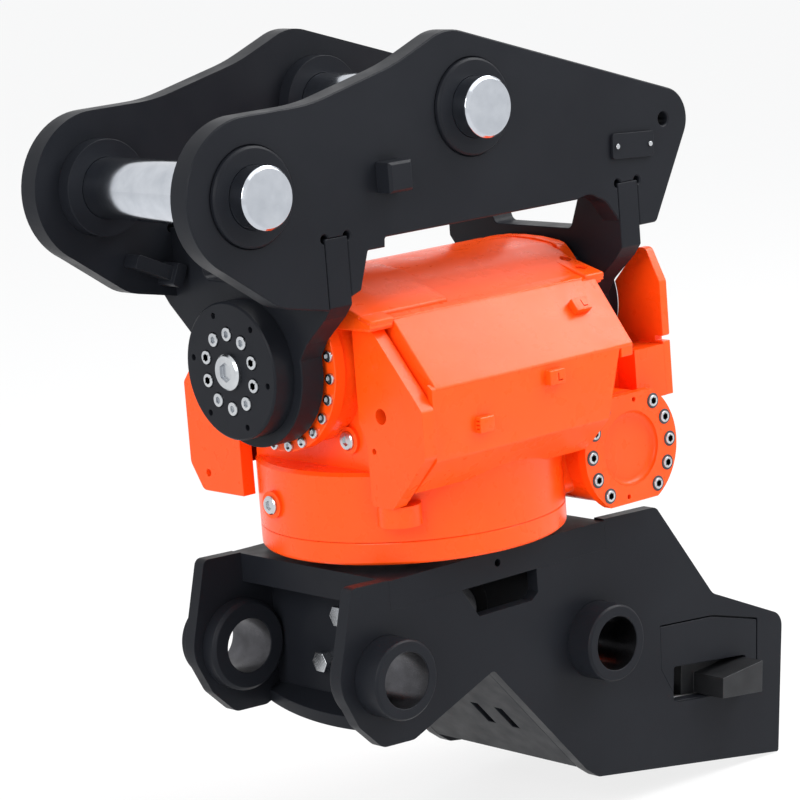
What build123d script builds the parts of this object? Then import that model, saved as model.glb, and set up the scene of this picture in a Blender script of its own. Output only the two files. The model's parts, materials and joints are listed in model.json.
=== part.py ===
"""Tiltrotator with a hydraulic wedge coupler, for the arm of an excavator.

The origin is the middle of the front pin. +X runs back to the rear pin, +Y runs
across the machine and +Z is up. Sizes are in millimetres.
"""
import os
from math import atan2, cos, degrees, pi, radians, sin, tan

from build123d import *

# Driving sizes of the pin frame
PIN_D = 70.0
PIN_SPACING = 330.0
PIN_RISE_DEG = 10.0
PIN_OVERHANG = 30.0
FRAME_WIDTH = 302.0
CHEEK_T = 28.0
CHEEK_ROUND_R = 87.0
HUB_D = 110.0
HUB_PROUD_OUT = 6.0
HUB_PROUD_IN = 18.0
CHEEK_FLOOR_Z = -70.0
PIN_PLAY = 0.05
PLATE_X = 572.0
PLATE_Z = -18.0
PLATE_T = 4.0
PLATE_TURN_DEG = -3.5

# Driving sizes of the tilt joint
TILT_Z = -213.0
BRACKET_T = 32.0
FRONT_BRACKET_X = 96.0
REAR_BRACKET_X = 546.0
LOBE_R = 92.0
BRACKET_TOP_Z = -60.0
NOTCH_Z = -117.0
SPIGOT_R = 60.0
FLANGE_R = 79.0
FLANGE_T = 28.0
FLANGE_SCREWS = 10
FLANGE_PCD_R = 42.6
FLANGE_SCREW_TURN = 18.0
SCREW_HEAD_R = 8.0
SCREW_HEAD_H = 8.0
SCREW_SINK = 6.0
JACK_HOLE_PCD_R = 66.0
CENTRE_HEAD_R = 21.0
CENTRE_HEAD_H = 7.0
CENTRE_BOLT_R = 12.0
SHAFT_R = 46.0
SHAFT_END_R = 56.0
SHAFT_END_LEN = 32.0
BOLT_REACH = 24.0
PLAY = 0.1
END_RING_GAP = 1.0

# Driving sizes of the orange rotator body
HOUSING_R = 100.0
HOUSING_BORE_R = 80.0
HOUSING_X0 = 150.0
HOUSING_X1 = 520.0
END_RING_R = 104.0
END_RING_T = 16.0
END_RING_SCREW_COUNT = 24
END_RING_PCD_R = 97.0
END_RING_TURN = 7.0
RING_SCREW_R = 6.5
RING_SCREW_H = 4.0
PISTON_LEN = 120.0
ROTOR_X = 322.0
DRUM_R = 180.0
DRUM_BORE_R = 160.0
DRUM_TOP_Z = -340.0
DRUM_CEILING_Z = -345.0
DRUM_FLOOR_Z = -447.0
RETAINER_T = 27.0
RETAINER_BORE_R = 128.0
NECK_R = 178.0
NECK_X0 = 180.5
NECK_X1 = 474.5
GUARD_PLATE_X = 162.0
GUARD_PLATE_T = 18.0
BODY_HALF_W = 213.0
COVER_T = 6.0
COVER_RIDGE_Z = -236.0
COVER_EDGE_Z = -317.0
REAR_PLATE_X = 475.0
WORM_X = 521.0
WORM_Z = -370.0
WORM_HOUSING_R = 68.0
WORM_HOUSING_HALF = 158.0
WORM_BORE_R = 46.0
WORM_R = 40.0
WORM_HALF = 62.0
WORM_SHAFT_R = 20.0
WORM_SHAFT_SINK = 8.0
BEARING_T = 30.0
BEARING_SINK = 12.0
WORM_COVER_R = 76.0
WORM_COVER_FLAT = 65.0
WORM_COVER_T = 12.0
WORM_POCKET_R = 44.0
WORM_SCREW_PCD_R = 64.0
WORM_SCREW_R = 7.0
WORM_SCREW_H = 2.0
WHEEL_TEETH = 36
WHEEL_TOP_Z = -350.0
WHEEL_T = 42.0
COVER_TOP_Y = -96.0
COVER_TOP_Z = -163.0
COVER_GROOVE = 5.5
COVER_FRONT_WALL = 12.0
PAD_REAR_END_X = 512.0
PAD_LEN = 33.0
PAD_HOLE_R = 6.5
REAR_DECK_HALF = 145.0
REAR_DECK_WAIST = 115.0
REAR_BOX_X0 = 561.0
REAR_DECK_X1 = 610.0
REAR_DECK_TOP_Z = -262.0
REAR_DECK_FLOOR_Z = -324.0
REAR_GUARD_T = 12.0
REAR_GUARD_BORE_R = 73.0
ROTOR_BOLTS = 12
ROTOR_BOLT_PCD_R = 95.0
ROTOR_BOLT_HEAD_R = 12.0

# Driving sizes of the wedge coupler
COUPLER_HALF = 141.0
SIDE_T = 17.0
TOP_PLATE_DROP = 9.0
TOP_PLATE_T = 34.0
TOP_PLATE_X0 = 156.0
TOP_PLATE_X1 = 496.0
BOSS_X = 141.5
BOSS_Z = -562.0
BOSS_DROP_DEG = -5.7
BOSS_R = 46.0
BOSS_BORE_R = 32.5
BOSS_OUT = 36.0
BOSS_INNER_R = 54.0
BOSS_IN = 21.0
JAW_PLATE_T = 16.0
ROOF_T = 14.0
ROOF_BOW = 16.0
FRONT_WALL_X = 197.0
SLIDE_X = 595.0
SLIDE_Z = -680.0
SLIDE_DROP_DEG = -6.3
WEDGE_H = 40.0
BAR_START = 54.0
BAR_LEN = 70.0
BAR_OUT = 31.0
GUIDE_GAP = 0.3
INSERT_GAP = 1.6
INDICATOR_R = 7.0
INDICATOR_X = 716.0
INDICATOR_Y = -40.0
CYLINDER_R = 31.0
ROD_R = 15.0

FRAME_HALF = FRAME_WIDTH / 2
CHEEK_IN = FRAME_HALF - CHEEK_T
PIN_R = PIN_D / 2
HUB_R = HUB_D / 2
REAR_PIN_X = PIN_SPACING * cos(radians(PIN_RISE_DEG))
REAR_PIN_Z = PIN_SPACING * sin(radians(PIN_RISE_DEG))
REAR_BOSS_X = BOSS_X + PIN_SPACING * cos(radians(BOSS_DROP_DEG))
REAR_BOSS_Z = BOSS_Z + PIN_SPACING * sin(radians(BOSS_DROP_DEG))
SIDE_IN = COUPLER_HALF - SIDE_T
TOP_PLATE_Z = DRUM_FLOOR_Z - TOP_PLATE_DROP
COVER_HALF_W = BODY_HALF_W - 2
RETAINER_Z = DRUM_FLOOR_Z + RETAINER_T
TOP_PLATE_FLOOR_Z = TOP_PLATE_Z - TOP_PLATE_T


PAD_HOLE_XS = (161, 493)
PAD_HOLE_YS = (-109, -133)
LATCH_PLACES = [(361, -253), (252, -287)]
SLOPE_LATCH_X = 445.0
SLOPE_LATCH_Y = -160.0
PLUG_PLACES = [(176, -66, -306), (140, 38, -385)]
PORT_PLACES = [(-8, -522), (30, -582)]
PLUG_R = 11.0
PLUG_BOSS_R = 16.0
WORM_SCREW_ANGLES = [-51.4, -25.7, 0.0, 25.7, 51.4]
JAW_APEX = (304.0, -594.0)
JAW_TIP = (440.0, -748.0)
JAW_FRONT = (176.0, -645.0)


def outline(points):
    """Face in the XY plane from corners (u, v, radius), with arcs at the corners."""
    corners = [Vector(p[0], p[1]) for p in points]
    radii = [p[2] if len(p) > 2 else 0 for p in points]
    count = len(points)
    edges = []
    ends = []
    for i, corner in enumerate(corners):
        before = (corners[i - 1] - corner).normalized()
        after = (corners[(i + 1) % count] - corner).normalized()
        if radii[i] <= 0:
            ends.append((corner, corner))
            continue
        half = radians(before.get_angle(after)) / 2
        reach = radii[i] * cos(half) / sin(half)
        middle = (before + after).normalized()
        crown = corner + middle * (radii[i] / sin(half) - radii[i])
        start = corner + before * reach
        stop = corner + after * reach
        edges.append(ThreePointArc(start, crown, stop))
        ends.append((start, stop))
    for i in range(count):
        start = ends[i - 1][1]
        stop = ends[i][0]
        if (stop - start).length > 1e-6:
            edges.append(Line(start, stop))
    return make_face(Wire(edges))


def slab_y(face, y0, y1):
    """A face drawn in X and Z, made solid between two Y values."""
    return Pos(0, y0, 0) * extrude(Plane.XZ * face, amount=y1 - y0, dir=(0, 1, 0))


def slab_x(face, x0, x1):
    """A face drawn in Y and Z, made solid between two X values."""
    return Pos(x0, 0, 0) * extrude(Plane.YZ * face, amount=x1 - x0, dir=(1, 0, 0))


def slab_z(face, z0, z1):
    """A face drawn in X and Y, made solid between two Z values."""
    return Pos(0, 0, z0) * extrude(face, amount=z1 - z0, dir=(0, 0, 1))


def rod_x(y, z, r, x0, x1):
    """Round bar along X."""
    return slab_x(Pos(y, z) * Circle(r), x0, x1)


def rod_y(x, z, r, y0, y1):
    """Round bar along Y."""
    return slab_y(Pos(x, z) * Circle(r), y0, y1)


def rod_z(x, y, r, z0, z1):
    """Round bar along Z."""
    return slab_z(Pos(x, y) * Circle(r), z0, z1)


def block(x0, x1, y0, y1, z0, z1):
    """Plain box between two corners."""
    return Pos((x0 + x1) / 2, (y0 + y1) / 2, (z0 + z1) / 2) * Box(x1 - x0, y1 - y0, z1 - z0)


def far(part):
    """The same piece on the far side."""
    return mirror(part, about=Plane.XZ)


def ring_places(count, radius, turn=0.0):
    """Evenly spaced places on a circle."""
    step = 360.0 / count
    return [
        (radius * cos(radians(turn + i * step)), radius * sin(radians(turn + i * step)))
        for i in range(count)
    ]


def group(parts):
    """Separate solids kept in one node."""
    solids = []
    for part in parts:
        solids.extend(part.solids())
    return Compound(children=solids)


def screw_head(head_r, head_h):
    """Head of a cap screw on the Z axis, which stands on zero."""
    return Pos(0, 0, head_h / 2) * Cylinder(head_r, head_h)


def socket_head(head_r, head_h):
    """Head of a large screw with its hexagon socket, which stands on zero."""
    head = screw_head(head_r, head_h)
    head = chamfer(head.edges().group_by(Axis.Z)[-1], head_r * 0.12)
    socket = extrude(RegularPolygon(head_r * 0.55, 6), head_h * 0.6 + 1)
    return head - Pos(0, 0, head_h * 0.4) * socket


def facing_x(part, x, y, z, sign):
    """Turn a piece that points up so that it points along sign times X."""
    return Pos(x, y, z) * Rot(0, 90 * sign, 0) * part


def facing_y(part, x, y, z, sign):
    """Turn a piece that points up so that it points along sign times Y."""
    return Pos(x, y, z) * Rot(-90 * sign, 0, 0) * part


# Pin frame

def cheek_plate():
    """Near cheek plate, with its slots for the two tilt brackets."""
    front = FRONT_BRACKET_X
    back = FRONT_BRACKET_X + BRACKET_T
    tail = REAR_BRACKET_X + BRACKET_T
    r = CHEEK_ROUND_R
    floor = CHEEK_FLOOR_Z
    face = outline([
        (0, r), (90, r + 1, 220), (215, 117, 220), (296, 150, 62), (686, 27, 38),
        (tail + 29, -114, 7), (REAR_BRACKET_X, -114), (REAR_BRACKET_X, -105),
        (525, -78, 26), (500, floor + 4, 20), (480, floor, 8), (183, floor, 3),
        (182, floor - 11), (157, floor - 11, 2), (back + 15, -123, 3), (front, -139),
        (30, -126, 60), (-54.6, -67.7),
    ])
    face += Circle(r)
    plate = slab_y(face, -FRAME_HALF, -CHEEK_IN)
    for x in (front, REAR_BRACKET_X):
        plate -= block(x, x + BRACKET_T, -FRAME_HALF - 1, -CHEEK_IN + 1, -200, BRACKET_TOP_Z)
        for edge in (x, x + BRACKET_T):
            plate -= rod_y(edge, BRACKET_TOP_Z, 5, -FRAME_HALF - 1, -CHEEK_IN + 1)
    for x, z in ((0, 0), (REAR_PIN_X, REAR_PIN_Z)):
        plate -= rod_y(x, z, HUB_R + PLAY, -FRAME_HALF - 1, -CHEEK_IN + 1)
    plate -= rod_y(628, 6, 8, -FRAME_HALF - 1, -CHEEK_IN + 1)
    rim = plate.edges().filter_by(lambda e: abs(e.center().Y + FRAME_HALF) < 0.01 and e.length > 12)
    return plate, rim


def finished_cheek_plate():
    """Cheek plate with its outer rim broken."""
    plate, rim = cheek_plate()
    return chamfer(rim, 1.5)


def hub_rings():
    """The four rings that carry the pins in the cheek plates."""
    rings = []
    for x, z in ((0, 0), (REAR_PIN_X, REAR_PIN_Z)):
        for side in (-1, 1):
            out = side * (FRAME_HALF + HUB_PROUD_OUT)
            inner = side * (CHEEK_IN - HUB_PROUD_IN)
            ring = rod_y(x, z, HUB_R, min(out, inner), max(out, inner))
            ring = chamfer(ring.edges().filter_by(lambda e: abs(e.center().Y - out) < 0.1), 2.5)
            rings.append(ring - rod_y(x, z, PIN_R + PIN_PLAY, -400, 400))
    return group(rings)


def frame_pin(x, z):
    """Plain hardened pin."""
    half = FRAME_HALF + PIN_OVERHANG
    pin = rod_y(x, z, PIN_R, -half, half)
    return chamfer(pin.edges().filter_by(GeomType.CIRCLE), 3)


def tilt_bracket(x):
    """Cross plate that hangs from both cheek plates and carries the tilt shaft."""
    half = [
        (66, NOTCH_Z, 9), (82, -78, 9), (101, BRACKET_TOP_Z, 6), (FRAME_HALF, BRACKET_TOP_Z),
        (FRAME_HALF, -136, 4), (139, -150, 8), (104, -180, 14), (LOBE_R - 1.5, TILT_Z + 14),
        (LOBE_R - 4, TILT_Z - 20),
    ]
    other = [(-p[0],) + tuple(p[1:]) for p in reversed(half)]
    face = outline(half + other) + Pos(0, TILT_Z) * Circle(LOBE_R)
    plate = slab_x(face, x, x + BRACKET_T)
    return plate - rod_x(0, TILT_Z, SPIGOT_R + PLAY, x - 1, x + BRACKET_T + 1)


def tilt_end(face_x, sign):
    """Sizes along X of one end of the tilt joint: sign points out of the machine."""
    return face_x + sign * FLANGE_T, face_x - sign * BRACKET_T


def tilt_flange(face_x, sign):
    """Round flange that is spigoted into a bracket and bolted to the shaft."""
    front, back = tilt_end(face_x, sign)
    disc = rod_x(0, TILT_Z, FLANGE_R, min(face_x, front), max(face_x, front))
    disc = chamfer(disc.edges().filter_by(lambda e: abs(e.center().X - front) < 0.1), 2)
    disc += rod_x(0, TILT_Z, SPIGOT_R, min(face_x, back), max(face_x, back))
    sink = Cylinder(SCREW_HEAD_R + 0.6, 2 * SCREW_SINK)
    for y, z in ring_places(FLANGE_SCREWS, FLANGE_PCD_R, FLANGE_SCREW_TURN):
        disc -= facing_x(sink, front, y, TILT_Z + z, sign)
    for y, z in ring_places(6, JACK_HOLE_PCD_R, 10):
        disc -= facing_x(Cylinder(3.5, 24), front, y, TILT_Z + z, sign)
    return disc - rod_x(
        0, TILT_Z, CENTRE_BOLT_R + PLAY, min(front, back) - 1, max(front, back) + 1
    )


def flange_screws(face_x, sign):
    """Ring of cap screws sunk in one flange."""
    seat = face_x + sign * (FLANGE_T - SCREW_SINK)
    screw = screw_head(SCREW_HEAD_R, SCREW_HEAD_H)
    places = ring_places(FLANGE_SCREWS, FLANGE_PCD_R, FLANGE_SCREW_TURN)
    return [facing_x(screw, seat, y, TILT_Z + z, sign) for y, z in places]


def centre_bolt(face_x, sign):
    """Large bolt on the tilt axis, through the flange into the shaft."""
    front, back = tilt_end(face_x, sign)
    deep = back - sign * BOLT_REACH
    shank = rod_x(0, TILT_Z, CENTRE_BOLT_R, min(front, deep), max(front, deep))
    return facing_x(socket_head(CENTRE_HEAD_R, CENTRE_HEAD_H), front, 0, TILT_Z, sign) + shank


def tilt_shaft():
    """Shaft of the tilt cylinder, from bracket to bracket."""
    x0 = FRONT_BRACKET_X + BRACKET_T
    x1 = REAR_BRACKET_X
    shaft = rod_x(0, TILT_Z, SHAFT_R, x0, x1)
    for a, b in ((x0, x0 + SHAFT_END_LEN), (x1 - SHAFT_END_LEN, x1)):
        shaft += rod_x(0, TILT_Z, SHAFT_END_R, a, b)
    for end in (x0, x1):
        shaft -= rod_x(
            0, TILT_Z, CENTRE_BOLT_R + PLAY, end - BOLT_REACH - 1, end + BOLT_REACH + 1
        )
    return shaft


def side_block():
    """Small welded stop on the near cheek plate."""
    body = block(176, 210, -FRAME_HALF - 24, -FRAME_HALF, -20, 14)
    return chamfer(body.edges().group_by(Axis.Y)[0], 3)


def data_plate():
    """Bare plate holder on the tail of the near cheek plate."""
    plate = Pos(PLATE_X, PLATE_Z) * Rot(0, 0, PLATE_TURN_DEG) * RectangleRounded(68, 30, 4)
    return slab_y(plate, -FRAME_HALF - PLATE_T, -FRAME_HALF)


def data_plate_rivets():
    """Two rivets that hold the bare plate."""
    face = -FRAME_HALF - PLATE_T
    rivets = []
    for along in (-27, 27):
        x = PLATE_X + along * cos(radians(PLATE_TURN_DEG))
        z = PLATE_Z + along * sin(radians(PLATE_TURN_DEG))
        rivets.append(rod_y(x, z, 3, face - 2, face))
    return group(rivets)


def lug_bar():
    """Short bar with a collar, welded inside the far cheek plate before the bracket."""
    bar = slab_y(Pos(54, -99) * Rot(0, 0, -24) * RectangleRounded(60, 16, 4), 99, CHEEK_IN)
    collar = slab_y(Pos(81, -111) * Rot(0, 0, -24) * RectangleRounded(14, 27, 4), 93, CHEEK_IN)
    return bar + collar


# Orange rotator body

def end_ring(x0, sign):
    """Ring that closes one end of the tilt cylinder."""
    x1 = x0 + sign * END_RING_T
    ring = rod_x(0, TILT_Z, END_RING_R, min(x0, x1), max(x0, x1))
    return ring - rod_x(0, TILT_Z, SHAFT_END_R + PIN_PLAY, min(x0, x1) - 1, max(x0, x1) + 1)


def end_ring_screws(x0, sign):
    """Cap screws of one end ring."""
    screw = screw_head(RING_SCREW_R, RING_SCREW_H)
    face = x0 + sign * END_RING_T
    places = ring_places(END_RING_SCREW_COUNT, END_RING_PCD_R, END_RING_TURN)
    return [facing_x(screw, face, y, TILT_Z + z, sign) for y, z in places]


def cast_pads():
    """Four raised pads beside the tilt cylinder, each with two sunk screw holes."""
    face = outline([
        (-60, -150), (-70, -141), (-110, -143, 8), (-150, -156, 5), (-151, -168), (-90, -170),
    ])
    near = slab_x(face, HOUSING_X0, HOUSING_X0 + PAD_LEN)
    near += slab_x(face, PAD_REAR_END_X - PAD_LEN, PAD_REAR_END_X)
    for x in PAD_HOLE_XS:
        for y in PAD_HOLE_YS:
            near -= rod_z(x, y, PAD_HOLE_R, -158, -100)
    return near + far(near)


def rotator_casting():
    """Cast body: tilt cylinder above, slewing drum below and worm housing behind."""
    neck = rod_z(ROTOR_X, 0, NECK_R, DRUM_CEILING_Z, TILT_Z)
    neck &= block(NECK_X0, NECK_X1, -NECK_R, NECK_R, DRUM_CEILING_Z, TILT_Z)
    neck &= slab_x(
        outline([(-150, TILT_Z), (150, TILT_Z), (NECK_R, -300, 30), (NECK_R, -346), (-NECK_R, -346),
                 (-NECK_R, -300, 30)]), 0, 700)
    drum = rod_z(ROTOR_X, 0, DRUM_R, RETAINER_Z, DRUM_TOP_Z)
    drum = chamfer(drum.edges().group_by(Axis.Z)[-1], 4)
    barrel = rod_x(0, TILT_Z, HOUSING_R, HOUSING_X0, HOUSING_X1)
    worm_tube = rod_y(WORM_X, WORM_Z, WORM_HOUSING_R, -WORM_HOUSING_HALF, WORM_HOUSING_HALF)
    bridge = block(430, WORM_X, -128, 128, WORM_Z - 50, -300)
    bridge = fillet(bridge.edges().filter_by(Axis.X), 20)
    clear = END_RING_R + END_RING_GAP
    deck = block(REAR_PLATE_X + GUARD_PLATE_T, REAR_DECK_X1, -REAR_DECK_WAIST, REAR_DECK_WAIST,
                 REAR_DECK_FLOOR_Z, REAR_DECK_TOP_Z)
    deck += block(REAR_BOX_X0, REAR_DECK_X1, -REAR_DECK_HALF, REAR_DECK_HALF,
                  REAR_DECK_FLOOR_Z, REAR_DECK_TOP_Z)
    deck -= block(HOUSING_X1, REAR_DECK_X1 + 1, -clear, clear, TILT_Z - 90, 0)
    foot = rod_z(GUARD_PLATE_X + 26, -132, 25, -398, -374)
    cast = neck + drum + barrel + worm_tube + bridge + deck + foot + cast_pads()
    cast -= rod_z(ROTOR_X, 0, DRUM_BORE_R, RETAINER_Z - 1, DRUM_CEILING_Z)
    cast -= rod_y(WORM_X, WORM_Z, WORM_BORE_R, -400, 400)
    cast -= rod_x(0, TILT_Z, HOUSING_BORE_R, HOUSING_X0 - 1, HOUSING_X1 + 1)
    cast -= rod_x(0, TILT_Z, clear, HOUSING_X1, 700)
    cast -= rod_z(ROTOR_X, 0, DRUM_R + PLAY, DRUM_FLOOR_Z - 20, RETAINER_Z)
    for x, y, z in PLUG_PLACES:
        cast += facing_x(Cylinder(PLUG_BOSS_R, 20), x + 10, y, z, -1)
    return cast


def casting_plugs():
    """Two large socket plugs in the front of the casting."""
    plug = socket_head(PLUG_R, 4)
    return group([facing_x(plug, x, y, z, -1) for x, y, z in PLUG_PLACES])


def front_plate_near():
    """Near half of the plate that closes the front of the covers."""
    face = outline([
        (-105, -160), (-134, -167, 6), (-BODY_HALF_W, -258, 8), (-BODY_HALF_W, -311, 10),
        (-152, -374, 8), (-116, -374), (-116, -300), (-105, -280),
    ])
    plate = slab_x(face, GUARD_PLATE_X, GUARD_PLATE_X + GUARD_PLATE_T) - cast_pads()
    plate -= rod_x(0, TILT_Z, END_RING_R + 1, 0, 400)
    plate -= rod_x(-143, -269, 9, 0, 400)
    return plate - rod_x(-127, -310, 3.5, 0, 400)


def front_plate_far():
    """Far half of the front plate, which reaches lower."""
    face = outline([
        (105, -160), (134, -167, 6), (BODY_HALF_W, -258, 8), (BODY_HALF_W, -356, 14),
        (192, -388, 10), (116, -388), (116, -300), (105, -280),
    ])
    plate = slab_x(face, GUARD_PLATE_X, GUARD_PLATE_X + GUARD_PLATE_T) - cast_pads()
    plate -= rod_x(0, TILT_Z, END_RING_R + 1, 0, 400)
    return plate - rod_x(180, -366, 4.5, 0, 400)


def side_cover():
    """Folded near side cover."""
    w = COVER_HALF_W
    outer = outline([
        (COVER_TOP_Y, COVER_TOP_Z), (-w, COVER_RIDGE_Z, 3), (-w, COVER_EDGE_Z, 4), (-170, -357),
        (-150, -357), (-150, -330), (-150, -200), (COVER_TOP_Y, -181),
    ])
    t = COVER_T
    inner = outline([
        (COVER_TOP_Y + 6, COVER_TOP_Z + 3 - t), (-w + t, COVER_RIDGE_Z - t * 0.7),
        (-w + t, COVER_EDGE_Z + t * 0.4), (-168, -357 + t * 1.3), (-140, -360), (-80, -200),
    ])
    groove = outline([(-90, -140), (-90, -178), (-134, -182), (-w + 7, -254), (-w + 7, -140)])
    rear_end = outline([
        (REAR_PLATE_X - 2, COVER_RIDGE_Z), (455, -294), (448, COVER_EDGE_Z), (448, -370),
        (REAR_PLATE_X + 5, -370), (REAR_PLATE_X + 5, COVER_RIDGE_Z),
    ])
    shell = slab_x(outer, NECK_X0, REAR_PLATE_X)
    shell -= slab_x(inner, NECK_X0 + COVER_FRONT_WALL, REAR_PLATE_X + 1)
    shell -= slab_x(groove, NECK_X0 - 1, NECK_X0 + COVER_GROOVE)
    shell -= slab_y(rear_end, -w - 1, -w + 30)
    shell -= cast_pads()
    shell -= rod_x(0, TILT_Z, HOUSING_R + 0.5, 0, 700)
    shell -= rod_z(ROTOR_X, 0, DRUM_R + 0.5, DRUM_FLOOR_Z, COVER_EDGE_Z + 10)
    return shell - rod_y(WORM_X, WORM_Z, WORM_COVER_R + 1, -400, 400)


def rear_plate():
    """Near plate that closes the back of the side cover."""
    w = COVER_HALF_W
    face = outline([
        (COVER_TOP_Y, COVER_TOP_Z), (-w, COVER_RIDGE_Z, 3), (-w, -250, 2), (-186, -253, 4),
        (-170, -300, 6), (-150, -300), (-150, -255), (-104, -240),
    ])
    plate = slab_x(face, REAR_PLATE_X, REAR_PLATE_X + GUARD_PLATE_T) - cast_pads()
    return plate - rod_x(0, TILT_Z, HOUSING_R + 0.5, 0, 700)


def rear_guard():
    """Upright guard behind the rear tilt flange, one wing on each side."""
    w = REAR_DECK_HALF
    x1 = REAR_DECK_X1 + REAR_GUARD_T
    slot_z = REAR_DECK_TOP_Z + 3
    face = outline([
        (-w, REAR_DECK_FLOOR_Z), (-w, slot_z), (-w + 13, slot_z), (-w + 13, slot_z + 6),
        (-w, slot_z + 6, 3), (-w, -187, 8), (-w + 20, -147, 8), (-w + 33, -147, 8),
        (-60, -200), (-60, REAR_DECK_FLOOR_Z),
    ])
    wing = slab_x(face, REAR_DECK_X1, x1)
    floor = block(REAR_DECK_X1, x1, -100, 100, REAR_DECK_FLOOR_Z, REAR_DECK_TOP_Z)
    return wing + far(wing) + floor - rod_x(0, TILT_Z, REAR_GUARD_BORE_R, 0, 900)


def worm_cover_face():
    """Round cover outline with two flats."""
    flats = Rectangle(400, 2 * WORM_COVER_FLAT)
    return Pos(WORM_X, WORM_Z) * (Circle(WORM_COVER_R) & flats)


def worm_screw_places():
    """Places of the cover screws, five on each side."""
    places = []
    for side in (0, 180):
        for angle in WORM_SCREW_ANGLES:
            a = radians(side + angle)
            places.append((WORM_X + WORM_SCREW_PCD_R * cos(a), WORM_Z + WORM_SCREW_PCD_R * sin(a)))
    return places


def worm_cover(side):
    """Cover on one end of the worm housing."""
    y0 = side * WORM_HOUSING_HALF
    y1 = side * (WORM_HOUSING_HALF + WORM_COVER_T)
    return slab_y(worm_cover_face(), min(y0, y1), max(y0, y1))


def worm_end_cover():
    """Near cover, with its shallow round pocket."""
    cover = worm_cover(-1)
    face_y = -WORM_HOUSING_HALF - WORM_COVER_T
    cover -= rod_y(WORM_X, WORM_Z, WORM_POCKET_R, face_y - 1, face_y + 7)
    for a in (62, 242):
        x = WORM_X + WORM_SCREW_PCD_R * cos(radians(a + 20))
        z = WORM_Z + WORM_SCREW_PCD_R * sin(radians(a + 20)) * 0.9
        cover -= rod_y(x, z, 3, face_y - 1, face_y + 8)
    return cover


def worm_cover_screws(side):
    """Cap screws of one worm cover."""
    screw = screw_head(WORM_SCREW_R, WORM_SCREW_H)
    y = side * (WORM_HOUSING_HALF + WORM_COVER_T)
    return [facing_y(screw, x, y, z, side) for x, z in worm_screw_places()]


def slewing_motor():
    """Short hydraulic motor on the far end of the worm."""
    y0 = WORM_HOUSING_HALF + WORM_COVER_T
    motor = rod_y(WORM_X, WORM_Z, 46, y0, y0 + 44)
    motor += rod_y(WORM_X, WORM_Z, 40, y0 + 44, y0 + 58)
    return motor


def worm_bearings():
    """Two bearings of the worm shaft."""
    rings = []
    outer = WORM_HOUSING_HALF - BEARING_SINK
    for side in (-1, 1):
        y0, y1 = sorted((side * (outer - BEARING_T), side * outer))
        ring = rod_y(WORM_X, WORM_Z, WORM_BORE_R - PLAY, y0, y1)
        rings.append(ring - rod_y(WORM_X, WORM_Z, WORM_SHAFT_R + PIN_PLAY, -400, 400))
    return group(rings)


def worm_shaft():
    """Worm and its shaft."""
    end = WORM_HOUSING_HALF - WORM_SHAFT_SINK
    shaft = rod_y(WORM_X, WORM_Z, WORM_SHAFT_R, -end, end)
    worm = rod_y(WORM_X, WORM_Z, WORM_R, -WORM_HALF, WORM_HALF)
    worm = chamfer(worm.edges().filter_by(GeomType.CIRCLE), 6)
    return shaft + worm


def bearing_retainer():
    """Ring that closes the drum from below."""
    ring = rod_z(ROTOR_X, 0, DRUM_R, DRUM_FLOOR_Z, RETAINER_Z)
    ring = chamfer(ring.edges().group_by(Axis.Z)[-1], 1.5)
    ring = chamfer(ring.edges().group_by(Axis.Z)[0], 3)
    return ring - rod_z(ROTOR_X, 0, RETAINER_BORE_R, -600, 0)


def slide_ring():
    """Bronze ring that the worm wheel turns on."""
    z1 = WHEEL_TOP_Z - WHEEL_T - 0.5
    ring = rod_z(ROTOR_X, 0, DRUM_BORE_R - PLAY, RETAINER_Z, z1)
    return ring - rod_z(ROTOR_X, 0, RETAINER_BORE_R, -600, 0)


def swivel_sleeve():
    """Fixed sleeve of the oil swivel."""
    ring = rod_z(ROTOR_X, 0, 58, DRUM_FLOOR_Z + 12, DRUM_CEILING_Z)
    return ring - rod_z(ROTOR_X, 0, 44 + 0.5, -600, 0)


def cover_latch():
    """Latch that lies on the XY plane, with a round knob and a slotted block."""
    body = extrude(outline([(-19, -9, 8), (19, -9, 2), (19, 9, 2), (-19, 9, 8)]), 9)
    knob = Pos(-11, 0, 7) * Cylinder(6.5, 13)
    slot = Pos(5, 3, 9) * Box(2.5, 14, 7)
    return body + knob - slot


def cover_latches():
    """Three latches of the near side cover, one on its slope and two on its side."""
    rise = atan2(COVER_RIDGE_Z - COVER_TOP_Z, -COVER_HALF_W - COVER_TOP_Y) + pi
    latches = [facing_y(cover_latch(), x, -COVER_HALF_W, z, -1) for x, z in LATCH_PLACES]
    slope_z = COVER_TOP_Z + (SLOPE_LATCH_Y - COVER_TOP_Y) * tan(rise)
    on_slope = Pos(SLOPE_LATCH_X, SLOPE_LATCH_Y, slope_z) * Rot(degrees(rise), 0, 0)
    latches.append(on_slope * cover_latch())
    return group(latches)


# Rotor and wedge coupler

def worm_wheel():
    """Toothed wheel that the worm turns."""
    r = WORM_X - ROTOR_X - WORM_R - 1
    wheel = rod_z(0, 0, r, WHEEL_TOP_Z - WHEEL_T, WHEEL_TOP_Z) - rod_z(0, 0, 126 + PLAY, -600, 0)
    gap = slab_z(outline([(r - 9, -3), (r + 1, -5.5), (r + 1, 5.5), (r - 9, 3)]), -420, -340)
    gaps = [Rot(0, 0, i * 360 / WHEEL_TEETH) * gap for i in range(WHEEL_TEETH)]
    return Pos(ROTOR_X, 0, 0) * (wheel - gaps)


def rotor_hub():
    """Hub that joins the worm wheel to the coupler."""
    return rod_z(ROTOR_X, 0, 126, TOP_PLATE_Z, WHEEL_TOP_Z) - rod_z(ROTOR_X, 0, 62, -600, 0)


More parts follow.
